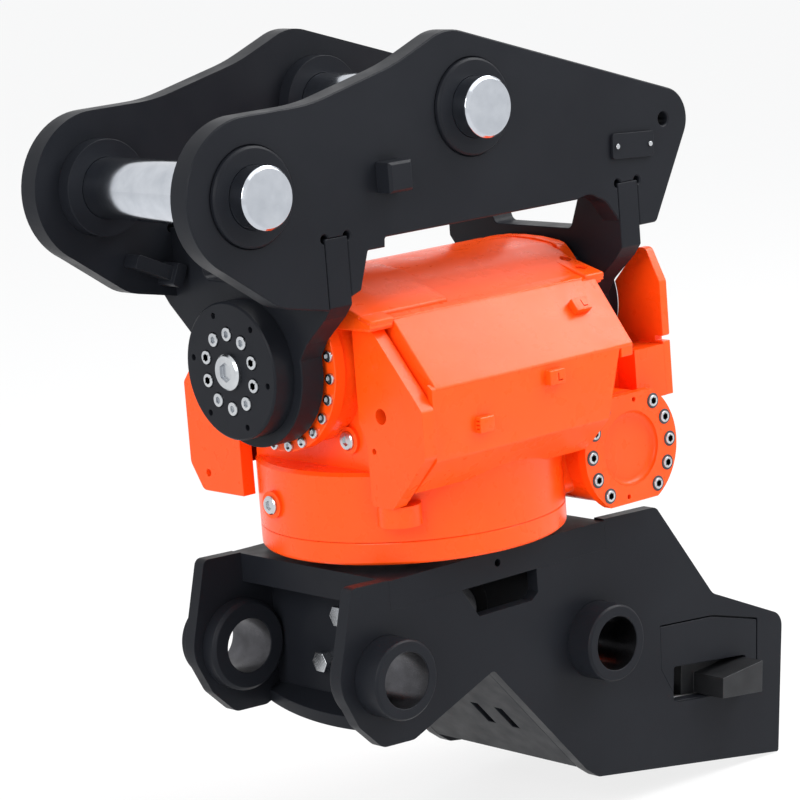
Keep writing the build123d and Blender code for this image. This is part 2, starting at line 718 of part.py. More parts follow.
def rotor_bolts():
    """Bolt heads that hold the coupler to the hub."""
    bolt = screw_head(ROTOR_BOLT_HEAD_R, ROTOR_BOLT_HEAD_R)
    return group([
        Pos(ROTOR_X + x, y, TOP_PLATE_FLOOR_Z) * Rot(180, 0, 0) * bolt
        for x, y in ring_places(ROTOR_BOLTS, ROTOR_BOLT_PCD_R)
    ])


def swivel_core():
    """Turning core of the oil swivel."""
    core = rod_z(ROTOR_X, 0, 44, TOP_PLATE_Z, DRUM_CEILING_Z - 3)
    return core + rod_z(ROTOR_X, 0, 56, TOP_PLATE_Z, TOP_PLATE_Z + 14)


def top_plate():
    """Thick plate under the drum."""
    plate = block(TOP_PLATE_X0, TOP_PLATE_X1, -COUPLER_HALF, COUPLER_HALF, TOP_PLATE_FLOOR_Z,
                  TOP_PLATE_Z)
    for side in (-1, 1):
        y0, y1 = sorted((side * (COUPLER_HALF + 1), side * (COUPLER_HALF - 20)))
        plate -= rod_y(ROTOR_X, -470, 4.5, y0, y1)
    return plate


def slide_point(along, above):
    """A point of the wedge's own frame, as X and Z."""
    a = radians(SLIDE_DROP_DEG)
    return (
        SLIDE_X + along * cos(a) - above * sin(a),
        SLIDE_Z + along * sin(a) + above * cos(a),
    )


def slide_face(corners):
    """Outline from corners (along, above, radius) in the wedge's own frame."""
    return outline([slide_point(c[0], c[1]) + tuple(c[2:]) for c in corners])


def slide_rod(r, start, stop):
    """Round bar along the wedge's travel."""
    x0, z0 = slide_point(start, 0)
    bar = Pos(x0, 0, z0) * Rot(0, 90 - SLIDE_DROP_DEG, 0) * Pos(0, 0, (stop - start) / 2)
    return bar * Cylinder(r, stop - start)


def side_face():
    """Outline of a coupler side plate."""
    return outline([
        (TOP_PLATE_X0, TOP_PLATE_FLOOR_Z), (TOP_PLATE_X0, TOP_PLATE_Z + 1), (101, -453, 9),
        (72, -562, 50), (97, -612, 22), (129, -643, 16), (176, -645, 16),
        JAW_APEX + (8,), JAW_TIP, (459, -762, 14), slide_point(190, -109) + (3,),
        slide_point(192, 65) + (20,), (672, -583, 18), (584, -457, 12),
        (TOP_PLATE_X1, TOP_PLATE_Z + 2), (TOP_PLATE_X1, TOP_PLATE_FLOOR_Z),
        (382, TOP_PLATE_FLOOR_Z), (382, -518, 2), (371, -526, 3), (288, -526, 3),
        (264, TOP_PLATE_FLOOR_Z),
    ])


def pocket_face():
    """Shallow pocket round the wedge window."""
    return outline([
        (575, -657), (578, -603, 1), (669, -610, 2), (748, -631, 3), (740, -718), (600, -704),
    ])


def window_face():
    """Window that the wedge's bar runs in."""
    half = WEDGE_H / 2 + 1
    return slide_face([(0, -half, 3), (BAR_START + BAR_LEN + 2, -half, 3),
                       (BAR_START + BAR_LEN + 2, half, 3), (0, half, 3)])


def side_plate():
    """Near side plate of the coupler."""
    plate = slab_y(side_face(), -COUPLER_HALF, -SIDE_IN)
    plate -= slab_y(pocket_face(), -COUPLER_HALF - 1, -COUPLER_HALF + 7)
    plate -= slab_y(window_face(), -200, 0)
    for x, z in ((BOSS_X, BOSS_Z), (REAR_BOSS_X, REAR_BOSS_Z)):
        plate -= rod_y(x, z, BOSS_R + PLAY, -200, 0)
    return plate


def window_insert():
    """Hard insert round the wedge window."""
    face = pocket_face() & (Pos(-INSERT_GAP, -INSERT_GAP) * pocket_face())
    insert = slab_y(face, -COUPLER_HALF, -COUPLER_HALF + 7)
    return insert - slab_y(window_face(), -200, 0)


def boss_pair(x, z):
    """Two bored bushes on one axis, one in each side plate."""
    bushes = []
    for side in (-1, 1):
        out = side * (COUPLER_HALF + BOSS_OUT)
        inner = side * SIDE_IN
        hub = side * (SIDE_IN - BOSS_IN)
        bush = rod_y(x, z, BOSS_R, min(out, inner), max(out, inner))
        bush = chamfer(bush.edges().filter_by(lambda e: abs(e.center().Y - out) < 0.1), 2.5)
        collar = rod_y(x, z, BOSS_INNER_R, min(inner, hub), max(inner, hub))
        collar = chamfer(collar.edges().filter_by(lambda e: abs(e.center().Y - hub) < 0.1), 4)
        bushes.append(bush + collar - rod_y(x, z, BOSS_BORE_R, -400, 400))
    return group(bushes)


def jaw_plate():
    """Sloping back wall of the jaw, with two long slots."""
    run = Vector(JAW_TIP[0] - JAW_APEX[0], JAW_TIP[1] - JAW_APEX[1])
    along = run.normalized()
    back = Vector(-along.Y, along.X)
    start = Vector(*JAW_APEX) + along * 4
    stop = Vector(*JAW_TIP)
    corners = [start, stop, stop + back * JAW_PLATE_T, start + back * JAW_PLATE_T]
    plate = slab_y(outline([(c.X, c.Y) for c in corners]), -SIDE_IN, SIDE_IN)
    for y in (-72, -30):
        s = start + along * 92
        e = start + along * 132
        slot = slab_y(outline([(p.X, p.Y) for p in (
            s - back * 2, e - back * 2, e + back * (JAW_PLATE_T + 2), s + back * (JAW_PLATE_T + 2)
        )]), y - 6, y + 6)
        plate -= slot
    return plate


def jaw_roof():
    """Plate over the jaw, with a bowed front edge."""
    run = Vector(JAW_APEX[0] - JAW_FRONT[0], JAW_APEX[1] - JAW_FRONT[1]).normalized()
    up = Vector(-run.Y, run.X)
    start = Vector(*JAW_FRONT) - run * ROOF_BOW
    stop = Vector(*JAW_APEX) - run * 2
    corners = [start, stop, stop + up * ROOF_T, start + up * ROOF_T]
    plate = slab_y(outline([(c.X, c.Y) for c in corners]), -SIDE_IN, SIDE_IN)
    x0 = JAW_FRONT[0] + 6
    plan = make_face(Wire([
        ThreePointArc((x0, -SIDE_IN), (x0 - ROOF_BOW, 0), (x0, SIDE_IN)),
        Line((x0, SIDE_IN), (JAW_TIP[0], SIDE_IN)),
        Line((JAW_TIP[0], SIDE_IN), (JAW_TIP[0], -SIDE_IN)),
        Line((JAW_TIP[0], -SIDE_IN), (x0, -SIDE_IN)),
    ]))
    return plate & slab_z(plan, JAW_TIP[1], TOP_PLATE_Z)


def roof_top(x):
    """Height of the jaw roof's upper face at a place along X."""
    rise = atan2(JAW_APEX[1] - JAW_FRONT[1], JAW_APEX[0] - JAW_FRONT[0])
    return JAW_FRONT[1] + ((x - JAW_FRONT[0]) * sin(rise) + ROOF_T) / cos(rise)


def front_wall():
    """Cross plate behind the front bosses, with two hose ports."""
    x0 = FRONT_WALL_X
    x1 = x0 + 14
    face = outline([(x0, TOP_PLATE_FLOOR_Z), (x1, TOP_PLATE_FLOOR_Z), (x1, roof_top(x1)),
                    (x0, roof_top(x0))])
    wall = slab_y(face, -SIDE_IN, SIDE_IN)
    for y, z in PORT_PLACES:
        wall -= rod_x(y, z, 9 + PLAY, 100, 300)
    return wall


def hose_ports():
    """Two hydraulic unions in the front wall."""
    ports = []
    for y, z in PORT_PLACES:
        port = rod_x(y, z, 9, FRONT_WALL_X - 12, FRONT_WALL_X + 30)
        port += slab_x(Pos(y, z) * RegularPolygon(13, 6), FRONT_WALL_X - 12, FRONT_WALL_X)
        ports.append(port)
    return group(ports)


def wedge_guides():
    """Upper and lower guide of the wedge."""
    half = WEDGE_H / 2 + GUIDE_GAP
    guides = []
    for sign in (-1, 1):
        inner = sign * half
        outer = sign * (half + 20)
        face = slide_face([(6, inner), (156, inner), (156, outer), (6, outer)])
        guides.append(slab_y(face, -SIDE_IN, SIDE_IN))
    return group(guides)


def rear_deck_plates():
    """Cross plates that close the top of the coupler behind the drum."""
    slope = slab_y(outline([(560, -482), (632, -580), (620, -590), (546, -492)]), -SIDE_IN, SIDE_IN)
    tail = slab_y(outline([
        (690, -602), slide_point(186, 55), slide_point(186, 42), (688, -616)
    ]), -SIDE_IN, SIDE_IN)
    return slope, tail - rod_z(INDICATOR_X, INDICATOR_Y, INDICATOR_R + PIN_PLAY, -700, -500)


def wedge_cylinder():
    """Barrel of the wedge's cylinder, carried by the jaw plate."""
    barrel = slide_rod(CYLINDER_R, -174, -52)
    barrel -= slide_rod(24, -162, -64)
    return barrel - slide_rod(ROD_R + 0.3, -100, 0)


def cylinder_foot():
    """Saddle that holds the cylinder barrel between the side plates."""
    face = slide_face([(-150, -44), (-110, -44), (-110, 10), (-150, 10)])
    saddle = slab_y(face, -SIDE_IN, SIDE_IN)
    return saddle - slide_rod(CYLINDER_R + PLAY, -400, 200)


def locking_wedge():
    """Wedge with a bar that runs out through both side plates."""
    half = WEDGE_H / 2
    body = slide_face([(BAR_START - 22, -half, 2), (176, -half), (176, -half + 12, 2),
                       (BAR_START + BAR_LEN + 10, half), (BAR_START - 22, half, 2)])
    wedge = slab_y(body, -SIDE_IN + 2, SIDE_IN - 2)
    bar = slide_face([(BAR_START, -half), (BAR_START + BAR_LEN, -half),
                      (BAR_START + BAR_LEN, half - 1), (BAR_START, half - 15)])
    reach = COUPLER_HALF + BAR_OUT
    wedge += slab_y(bar, -reach, reach)
    return wedge


def wedge_rod():
    """Piston and rod that move the wedge."""
    rod = slide_rod(ROD_R, -90, BAR_START - 22)
    return rod + slide_rod(23.7, -92, -76)


def indicator_pin():
    """Small pin that shows whether the wedge is home."""
    pin = rod_z(INDICATOR_X, INDICATOR_Y, INDICATOR_R, -640, -594)
    return chamfer(pin.edges().group_by(Axis.Z)[-1], 1.5)


def tilt_piston():
    """Sleeve that slides along the tilt shaft and turns the body."""
    middle = (FRONT_BRACKET_X + BRACKET_T + REAR_BRACKET_X) / 2
    sleeve = rod_x(0, TILT_Z, HOUSING_BORE_R - 0.5, middle - PISTON_LEN / 2, middle + PISTON_LEN / 2)
    return sleeve - rod_x(0, TILT_Z, SHAFT_R + 0.5, 0, 700)


def all_nodes():
    """Every piece by the name of its node."""
    front_x = FRONT_BRACKET_X
    rear_x = REAR_BRACKET_X + BRACKET_T
    slope, tail = rear_deck_plates()
    near_cheek = finished_cheek_plate()
    near_side = side_plate()
    cover = side_cover()
    return {
        "near_cheek_plate": near_cheek,
        "far_cheek_plate": far(near_cheek),
        "pin_hub_rings": hub_rings(),
        "front_pin": frame_pin(0, 0),
        "rear_pin": frame_pin(REAR_PIN_X, REAR_PIN_Z),
        "front_tilt_bracket": tilt_bracket(front_x),
        "rear_tilt_bracket": tilt_bracket(REAR_BRACKET_X),
        "front_tilt_flange": tilt_flange(front_x, -1),
        "rear_tilt_flange": tilt_flange(rear_x, 1),
        "tilt_flange_screws": group(flange_screws(front_x, -1) + flange_screws(rear_x, 1)),
        "tilt_centre_bolts": group([centre_bolt(front_x, -1), centre_bolt(rear_x, 1)]),
        "tilt_shaft": tilt_shaft(),
        "side_block": side_block(),
        "data_plate": data_plate(),
        "data_plate_rivets": data_plate_rivets(),
        "lug_bar": lug_bar(),
        "tilt_piston": tilt_piston(),
        "rotator_casting": rotator_casting(),
        "casting_plugs": casting_plugs(),
        "front_end_ring": end_ring(HOUSING_X0, -1),
        "rear_end_ring": end_ring(HOUSING_X1, 1),
        "end_ring_screws": group(end_ring_screws(HOUSING_X0, -1) + end_ring_screws(HOUSING_X1, 1)),
        "near_front_plate": front_plate_near(),
        "far_front_plate": front_plate_far(),
        "near_side_cover": cover,
        "far_side_cover": far(cover),
        "near_rear_plate": rear_plate(),
        "far_rear_plate": far(rear_plate()),
        "rear_guard": rear_guard(),
        "worm_end_cover": worm_end_cover(),
        "worm_motor_cover": worm_cover(1),
        "worm_cover_screws": group(worm_cover_screws(-1) + worm_cover_screws(1)),
        "slewing_motor": slewing_motor(),
        "worm_bearings": worm_bearings(),
        "bearing_retainer": bearing_retainer(),
        "slide_ring": slide_ring(),
        "swivel_sleeve": swivel_sleeve(),
        "cover_clips": cover_latches(),
        "worm_shaft": worm_shaft(),
        "worm_wheel": worm_wheel(),
        "rotor_hub": rotor_hub(),
        "rotor_bolts": rotor_bolts(),
        "swivel_core": swivel_core(),
        "coupler_top_plate": top_plate(),
        "near_side_plate": near_side,
        "far_side_plate": far(near_side),
        "window_inserts": group([window_insert(), far(window_insert())]),
        "front_boss_bushes": boss_pair(BOSS_X, BOSS_Z),
        "rear_boss_bushes": boss_pair(REAR_BOSS_X, REAR_BOSS_Z),
        "jaw_plate": jaw_plate(),
        "jaw_roof": jaw_roof(),
        "front_wall": front_wall(),
        "hose_ports": hose_ports(),
        "wedge_guides": wedge_guides(),
        "rear_slope_plate": slope,
        "rear_tail_plate": tail,
        "wedge_cylinder": wedge_cylinder(),
        "cylinder_foot": cylinder_foot(),
        "locking_wedge": group([locking_wedge(), wedge_rod()]),
        "indicator_pin": indicator_pin(),
    }


def main():
    """Write one STEP file for each piece."""
    os.makedirs("parts", exist_ok=True)
    for name, part in all_nodes().items():
        part.label = name
        export_step(part, os.path.join("parts", name + ".step"))


main()
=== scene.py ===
"""Looks of a tiltrotator with a hydraulic wedge coupler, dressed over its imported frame.

Places and sizes are in metres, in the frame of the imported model: the origin is the middle of the
front pin, +X runs back to the rear pin, +Y runs across the machine and +Z is up.
"""

from __future__ import annotations

import json
import logging
import math
from dataclasses import dataclass, field
from enum import Enum

import bmesh
import bpy
from mathutils import Matrix, Vector

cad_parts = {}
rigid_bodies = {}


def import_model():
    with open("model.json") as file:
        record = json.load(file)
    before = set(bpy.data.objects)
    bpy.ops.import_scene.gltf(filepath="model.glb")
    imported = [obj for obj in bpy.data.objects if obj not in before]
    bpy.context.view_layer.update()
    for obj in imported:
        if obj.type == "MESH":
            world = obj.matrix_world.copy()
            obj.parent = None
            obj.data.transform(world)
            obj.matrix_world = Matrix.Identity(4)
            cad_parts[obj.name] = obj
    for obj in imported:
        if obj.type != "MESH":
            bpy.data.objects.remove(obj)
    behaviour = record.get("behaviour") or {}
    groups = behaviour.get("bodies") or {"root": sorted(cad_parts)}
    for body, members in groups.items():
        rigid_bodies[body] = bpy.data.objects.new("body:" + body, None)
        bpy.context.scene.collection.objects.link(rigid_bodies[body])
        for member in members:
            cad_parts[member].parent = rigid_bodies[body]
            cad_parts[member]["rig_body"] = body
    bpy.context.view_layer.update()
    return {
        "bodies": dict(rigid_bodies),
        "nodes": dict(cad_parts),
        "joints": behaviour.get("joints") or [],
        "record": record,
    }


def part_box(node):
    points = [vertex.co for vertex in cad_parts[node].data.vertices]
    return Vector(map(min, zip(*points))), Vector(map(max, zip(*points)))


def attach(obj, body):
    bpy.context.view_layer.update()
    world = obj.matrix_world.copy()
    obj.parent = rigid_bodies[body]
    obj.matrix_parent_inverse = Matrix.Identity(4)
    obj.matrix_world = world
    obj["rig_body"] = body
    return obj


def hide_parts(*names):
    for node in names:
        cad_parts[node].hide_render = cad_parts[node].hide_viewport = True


LOG = logging.getLogger("tiltrotator")
MM = 0.001
MERGE = 2e-6


class Finish(Enum):
    """The finishes of the machine, each by a short name."""

    BLACK = "black_paint"
    ORANGE = "orange_paint"
    CHROME = "hard_chrome"
    STEEL = "bare_steel"
    WEDGE = "wedge_steel"
    DARK_SCREW = "dark_screws"
    ZINC = "zinc_screws"
    BRONZE = "bronze"


class NodeTree:
    """A short way to write the node tree of one material."""

    def __init__(self, name: str) -> None:
        """Start an empty material.

        Args:
            name: The name of the material.
        """
        self.material = bpy.data.materials.new(name)
        self.material.use_nodes = True
        self.nodes = self.material.node_tree.nodes
        self.links = self.material.node_tree.links
        self.nodes.clear()
        self.output = self.nodes.new("ShaderNodeOutputMaterial")
        self.coords = self.nodes.new("ShaderNodeTexCoord")

    def add(self, kind: str, **values: object) -> bpy.types.Node:
        """Add a node and set its attributes.

        Args:
            kind: The Blender type of the node.
            **values: Attributes of the node.

        Returns:
            The new node.
        """
        node = self.nodes.new(kind)
        for key, value in values.items():
            setattr(node, key, value)
        return node

    def link(self, source: bpy.types.NodeSocket, target: bpy.types.NodeSocket) -> None:
        """Join an output to an input.

        Args:
            source: The output.
            target: The input.
        """
        self.links.new(source, target)

    def noise(self, scale: float, detail: float = 4.0, stretch: tuple = (1, 1, 1)) -> bpy.types.Node:
        """A noise pattern that is fixed to the object.

        Args:
            scale: Waves to a metre.
            detail: Octaves of the noise.
            stretch: Scale along X, Y and Z.

        Returns:
            The noise node.
        """
        mapping = self.add("ShaderNodeMapping")
        mapping.inputs["Scale"].default_value = stretch
        self.link(self.coords.outputs["Object"], mapping.inputs["Vector"])
        node = self.add("ShaderNodeTexNoise")
        node.inputs["Scale"].default_value = scale
        node.inputs["Detail"].default_value = detail
        self.link(mapping.outputs["Vector"], node.inputs["Vector"])
        return node

    def spread(self, source: bpy.types.NodeSocket, low: float, high: float) -> bpy.types.NodeSocket:
        """Map a pattern's middle range on to a range of values.

        Args:
            source: The pattern.
            low: The value at the dark end.
            high: The value at the bright end.

        Returns:
            The socket with the mapped value.
        """
        node = self.add("ShaderNodeMapRange")
        node.inputs["From Min"].default_value = 0.3
        node.inputs["From Max"].default_value = 0.7
        node.inputs["To Min"].default_value = low
        node.inputs["To Max"].default_value = high
        self.link(source, node.inputs["Value"])
        return node.outputs["Result"]

    def bump(self, height: bpy.types.NodeSocket, depth: float) -> bpy.types.NodeSocket:
        """Turn a height pattern into a surface relief.

        Args:
            height: The pattern, from 0 to 1.
            depth: The depth of the relief in metres.

        Returns:
            The socket with the new normal.
        """
        node = self.add("ShaderNodeBump")
        node.inputs["Strength"].default_value = 1.0
        node.inputs["Distance"].default_value = depth
        self.link(height, node.inputs["Height"])
        return node.outputs["Normal"]

    def tint(
        self, mask: bpy.types.NodeSocket, first: tuple, second: tuple
    ) -> bpy.types.NodeSocket:
        """Mix two colours by a mask.

        Args:
            mask: The pattern, from 0 to 1.
            first: The colour where the mask is 0.
            second: The colour where the mask is 1.

        Returns:
            The socket with the mixed colour.
        """
        node = self.add("ShaderNodeMix", data_type="RGBA")
        node.inputs[6].default_value = (*first, 1.0)
        node.inputs[7].default_value = (*second, 1.0)
        self.link(mask, node.inputs[0])
        return node.outputs[2]


@dataclass(frozen=True)
class Paint:
    """A sprayed paint: its colour, its gloss, its fine peel and the dust in it."""

    name: str
    colour: tuple
    dusty: tuple
    rough_low: float
    rough_high: float
    peel_scale: float = 420.0
    peel_depth: float = 0.00004
    specular: float = 0.5

    def build(self) -> bpy.types.Material:
        """Make the material of this paint."""
        tree = NodeTree(self.name)
        shader = tree.add("ShaderNodeBsdfPrincipled")
        shader.inputs["Specular IOR Level"].default_value = self.specular
        cloud = tree.noise(7.0, 5.0)
        mask = tree.spread(cloud.outputs["Fac"], 0.0, 1.0)
        tree.link(tree.tint(mask, self.colour, self.dusty), shader.inputs["Base Color"])
        smear = tree.noise(38.0, 6.0)
        rough = tree.spread(smear.outputs["Fac"], self.rough_low, self.rough_high)
        tree.link(rough, shader.inputs["Roughness"])
        peel = tree.noise(self.peel_scale, 2.0)
        relief = tree.bump(peel.outputs["Fac"], self.peel_depth)
        tree.link(relief, shader.inputs["Normal"])
        tree.link(shader.outputs["BSDF"], tree.output.inputs["Surface"])
        return tree.material


@dataclass(frozen=True)
class Metal:
    """A bare metal: its colour, its gloss and the way it was worked."""

    name: str
    colour: tuple
    stained: tuple
    rough_low: float
    rough_high: float
    grain_scale: float = 900.0
    grain_depth: float = 0.00002
    stretch: tuple = (1, 1, 1)
    metallic: float = 1.0

    def build(self) -> bpy.types.Material:
        """Make the material of this metal."""
        tree = NodeTree(self.name)
        shader = tree.add("ShaderNodeBsdfPrincipled")
        shader.inputs["Metallic"].default_value = self.metallic
        cloud = tree.noise(45.0, 5.0)
        mask = tree.spread(cloud.outputs["Fac"], 0.0, 1.0)
        tree.link(tree.tint(mask, self.colour, self.stained), shader.inputs["Base Color"])
        grain = tree.noise(self.grain_scale, 3.0, self.stretch)
        rough = tree.spread(grain.outputs["Fac"], self.rough_low, self.rough_high)
        tree.link(rough, shader.inputs["Roughness"])
        relief = tree.bump(grain.outputs["Fac"], self.grain_depth)
        tree.link(relief, shader.inputs["Normal"])
        tree.link(shader.outputs["BSDF"], tree.output.inputs["Surface"])
        return tree.material


FINISHES = {
    Finish.BLACK: Paint(
        "sprayed black paint", (0.0095, 0.0105, 0.0138), (0.012, 0.0134, 0.017), 0.34, 0.46,
        specular=0.1,
    ),
    Finish.ORANGE: Paint(
        "sprayed orange paint", (1.0, 0.076, 0.003), (1.0, 0.088, 0.006), 0.24, 0.34,
        specular=0.25,
    ),
    Finish.CHROME: Metal(
        "hard chrome", (0.60, 0.63, 0.68), (0.50, 0.53, 0.58), 0.08, 0.16, 1400.0, 0.000006,
    ),
    Finish.STEEL: Metal(
        "machined steel", (0.42, 0.42, 0.43), (0.33, 0.33, 0.34), 0.28, 0.45,
    ),
    Finish.WEDGE: Metal(
        "blackened steel", (0.030, 0.031, 0.034), (0.020, 0.021, 0.023), 0.35, 0.5, metallic=0.6,
    ),
    Finish.DARK_SCREW: Metal(
        "oiled steel", (0.10, 0.10, 0.11), (0.06, 0.06, 0.065), 0.25, 0.4,
    ),
    Finish.ZINC: Metal(
        "zinc plating", (0.62, 0.64, 0.66), (0.50, 0.52, 0.55), 0.16, 0.28,
    ),
    Finish.BRONZE: Metal(
        "cast bronze", (0.55, 0.34, 0.14), (0.42, 0.25, 0.10), 0.3, 0.45,
    ),
}


def gather(joined: bmesh.types.BMesh, part: bmesh.types.BMesh) -> None:
    """Add one mesh to another.

    Args:
        joined: The mesh that gathers them.
        part: The mesh that is added, which is freed.
    """
    mesh = bpy.data.meshes.new("part")
    part.to_mesh(mesh)
    part.free()
    joined.from_mesh(mesh)
    bpy.data.meshes.remove(mesh)


@dataclass
class Dresser:
    """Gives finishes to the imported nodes, and soft edges to the ones that show."""

    frame: dict
    materials: dict = field(default_factory=dict)
    edge_angle: float = math.radians(28)

    def material(self, finish: Finish) -> bpy.types.Material:
        """The material of a finish, made once.

        Args:
            finish: The finish.

        Returns:
            Its material.
        """
        if finish not in self.materials:
            self.materials[finish] = FINISHES[finish].build()
        return self.materials[finish]

    def paint(self, piece: bpy.types.Object, finish: Finish) -> None:
        """Put one finish on a whole piece.

        Args:
            piece: The piece.
            finish: Its finish.
        """
        piece.data.materials.clear()
        piece.data.materials.append(self.material(finish))

    def body_of(self, node: str) -> str:
        """The body that a node belongs to.

        Args:
            node: The name of the node.

        Returns:
            The name of the body.
        """
        return self.frame["nodes"][node]["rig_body"]

    def plain(self, node: str, finish: Finish) -> None:
        """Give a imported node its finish, as it is.

        Args:
            node: The name of the node.
            finish: Its finish.
        """
        self.paint(self.frame["nodes"][node], finish)
        LOG.info("node %s: %s", node, finish.value)

    def soften(self, node: str, finish: Finish, edge: float = 0.8, segments: int = 2) -> bpy.types.Object:
        """Stand in for a node with a copy whose edges are rounded.

        Args:
            node: The name of the node.
            finish: Its finish.
            edge: The width of the rounded edges in millimetres.
            segments: Faces across each rounded edge.

        Returns:
            The new piece.
        """
        mesh = self.frame["nodes"][node].data.copy()
        mesh.name = node + "_skin"
        work = bmesh.new()
        work.from_mesh(mesh)
        bmesh.ops.remove_doubles(work, verts=work.verts, dist=MERGE)
        bmesh.ops.dissolve_limit(
            work, angle_limit=math.radians(0.6), verts=work.verts, edges=work.edges,
            delimit={"NORMAL"},
        )
        for edge_item in work.edges:
            faces = edge_item.link_faces
            sharp = len(faces) != 2 or faces[0].normal.angle(faces[1].normal, 0.0) > self.edge_angle
            edge_item.smooth = not sharp
        for face in work.faces:
            face.smooth = True
        work.to_mesh(mesh)
        work.free()
        piece = bpy.data.objects.new(node + "_skin", mesh)
        bpy.context.scene.collection.objects.link(piece)
        if edge > 0:
            bevel = piece.modifiers.new("soft edges", "BEVEL")
            bevel.width = edge * MM
            bevel.segments = segments
            bevel.limit_method = "ANGLE"
            bevel.angle_limit = self.edge_angle
            bevel.harden_normals = True
            bevel.use_clamp_overlap = True
        self.settle(piece, node, finish)
        return piece

    def settle(self, piece: bpy.types.Object, node: str, finish: Finish) -> None:
        """Finish a piece that stands for a node, and let it ride on the node's body.

        Args:
            piece: The piece.
            node: The node that it stands for.
            finish: Its finish.
        """
        self.paint(piece, finish)
        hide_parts(node)
        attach(piece, self.body_of(node))
        LOG.info("piece %s stands for node %s", piece.name, node)

    def extra(self, piece: bpy.types.Object, body: str, finish: Finish) -> None:
        """Finish a piece that no node stands for, and let it ride on a body.

        Args:
            piece: The piece.
            body: The name of the body.
            finish: Its finish.
        """
        self.paint(piece, finish)
        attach(piece, body)
        LOG.info("piece %s rides on %s", piece.name, body)

    def solids(self, node: str) -> list:
        """The lowest and highest corner of each separate solid of a node.

        Args:
            node: The name of the node.

        Returns:
            A pair of corners for each solid.
        """
        work = bmesh.new()
        work.from_mesh(self.frame["nodes"][node].data)
        bmesh.ops.remove_doubles(work, verts=work.verts, dist=MERGE)
        left = set(work.verts)
        boxes = []
        while left:
            front = [left.pop()]
            island = list(front)
            while front:
                near = {edge.other_vert(vert) for vert in front for edge in vert.link_edges}
                front = list(near & left)
                left.difference_update(front)
                island.extend(front)
            low = Vector(min(vert.co[axis] for vert in island) for axis in range(3))
            high = Vector(max(vert.co[axis] for vert in island) for axis in range(3))
            boxes.append((low, high))
        work.free()
        return boxes

    def screws(
        self, node: str, finish: Finish, socket: float = 0.5, facing: tuple = (),
        under: CastTop | None = None,
    ) -> None:
        """Stand in for the plain heads of a node with socket cap screws.

        Args:
            node: The name of the node.
            finish: The finish of the screws.
            socket: The size of the hexagon socket, as a share of the head.
            facing: The way the heads point. Without it they point away from the node's middle.
            under: The cast top, where only the heads below it are made.
        """
        middle = sum((Vector(corner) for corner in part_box(node)), Vector()) / 2
        joined = bmesh.new()
        for low, high in self.solids(node):
            size = high - low
            axis = min(range(3), key=lambda index: abs(size[index - 1] - size[index - 2]))
            radius = size[(axis + 1) % 3] / 2
            centre = (low + high) / 2
            if under is not None and high.z / MM > under.height(abs(centre.y) / MM):
                continue
            out = Vector(facing or (0, 0, 0))
            if not facing:
                out[axis] = 1.0 if centre[axis] >= middle[axis] else -1.0
            seat = centre - out * size[axis] / 2
            CapScrew(radius, size[axis], socket).place(joined, seat, out)
        self.settle(self.piece(joined, node + "_heads"), node, finish)

    def piece(self, work: bmesh.types.BMesh, name: str) -> bpy.types.Object:
        """Make an object of a finished mesh, smooth but for its sharp edges.

        Args:
            work: The mesh, which is freed.
            name: The name of the object.

        Returns:
            The object.
        """
        for edge in work.edges:
            faces = edge.link_faces
            edge.smooth = len(faces) == 2 and faces[0].normal.angle(faces[1].normal, 0.0) < self.edge_angle
        for face in work.faces:
            face.smooth = True
        mesh = bpy.data.meshes.new(name)
        work.to_mesh(mesh)
        work.free()
        piece = bpy.data.objects.new(name, mesh)
        bpy.context.scene.collection.objects.link(piece)
        return piece

    def prism(self, profile: tuple, axis: int, start: float, stop: float) -> bmesh.types.BMesh:
        """Extrude a flat outline along one axis.

        Args:
            profile: Corners in millimetres, in the order of the two other axes.
            axis: The axis to extrude along, 0 for X, 1 for Y or 2 for Z.
            start: The first place on that axis in millimetres.
            stop: The last place on that axis in millimetres.

        Returns:
            The closed mesh.
        """
        work = bmesh.new()
        others = [index for index in range(3) if index != axis]
        for corner in profile:
            place = Vector((0.0, 0.0, 0.0))
            place[axis] = start * MM
            place[others[0]] = corner[0] * MM
            place[others[1]] = corner[1] * MM
            work.verts.new(place)
        face = work.faces.new(work.verts)
        made = bmesh.ops.extrude_face_region(work, geom=[face])
        travel = Vector((0.0, 0.0, 0.0))
        travel[axis] = (stop - start) * MM
        moved = [item for item in made["geom"] if isinstance(item, bmesh.types.BMVert)]
        bmesh.ops.translate(work, verts=moved, vec=travel)
        bmesh.ops.recalc_face_normals(work, faces=work.faces)
        return work

    def round_off(self, work: bmesh.types.BMesh, width: float, sharpest: float = 28.0) -> None:
        """Round the sharp edges of a mesh.

        Args:
            work: The mesh.
            width: The width of the rounding in millimetres.
            sharpest: The turn in degrees above which an edge is rounded.
        """
        limit = math.radians(sharpest)
        edges = [edge for edge in work.edges if edge.calc_face_angle(0.0) > limit]
        bmesh.ops.bevel(
            work, geom=edges, offset=width * MM, segments=3, profile=0.5, affect="EDGES",
            material=-1, clamp_overlap=True,
        )

    def drill(self, piece: bpy.types.Object, cutter: bmesh.types.BMesh) -> None:
        """Take the shape of a cutter out of a piece.

        Args:
            piece: The piece.
            cutter: The mesh that is taken out, which is freed.
        """
        mesh = bpy.data.meshes.new("cutter")
        cutter.to_mesh(mesh)
        cutter.free()
        tool = bpy.data.objects.new("cutter", mesh)
        bpy.context.scene.collection.objects.link(tool)
        hole = piece.modifiers.new("holes", "BOOLEAN")
        hole.operation = "DIFFERENCE"
        hole.solver = "EXACT"
        hole.object = tool
        graph = bpy.context.evaluated_depsgraph_get()
        drilled = bpy.data.meshes.new_from_object(piece.evaluated_get(graph))
        piece.modifiers.clear()
        piece.data = drilled
        bpy.data.objects.remove(tool)
        bpy.data.meshes.remove(mesh)

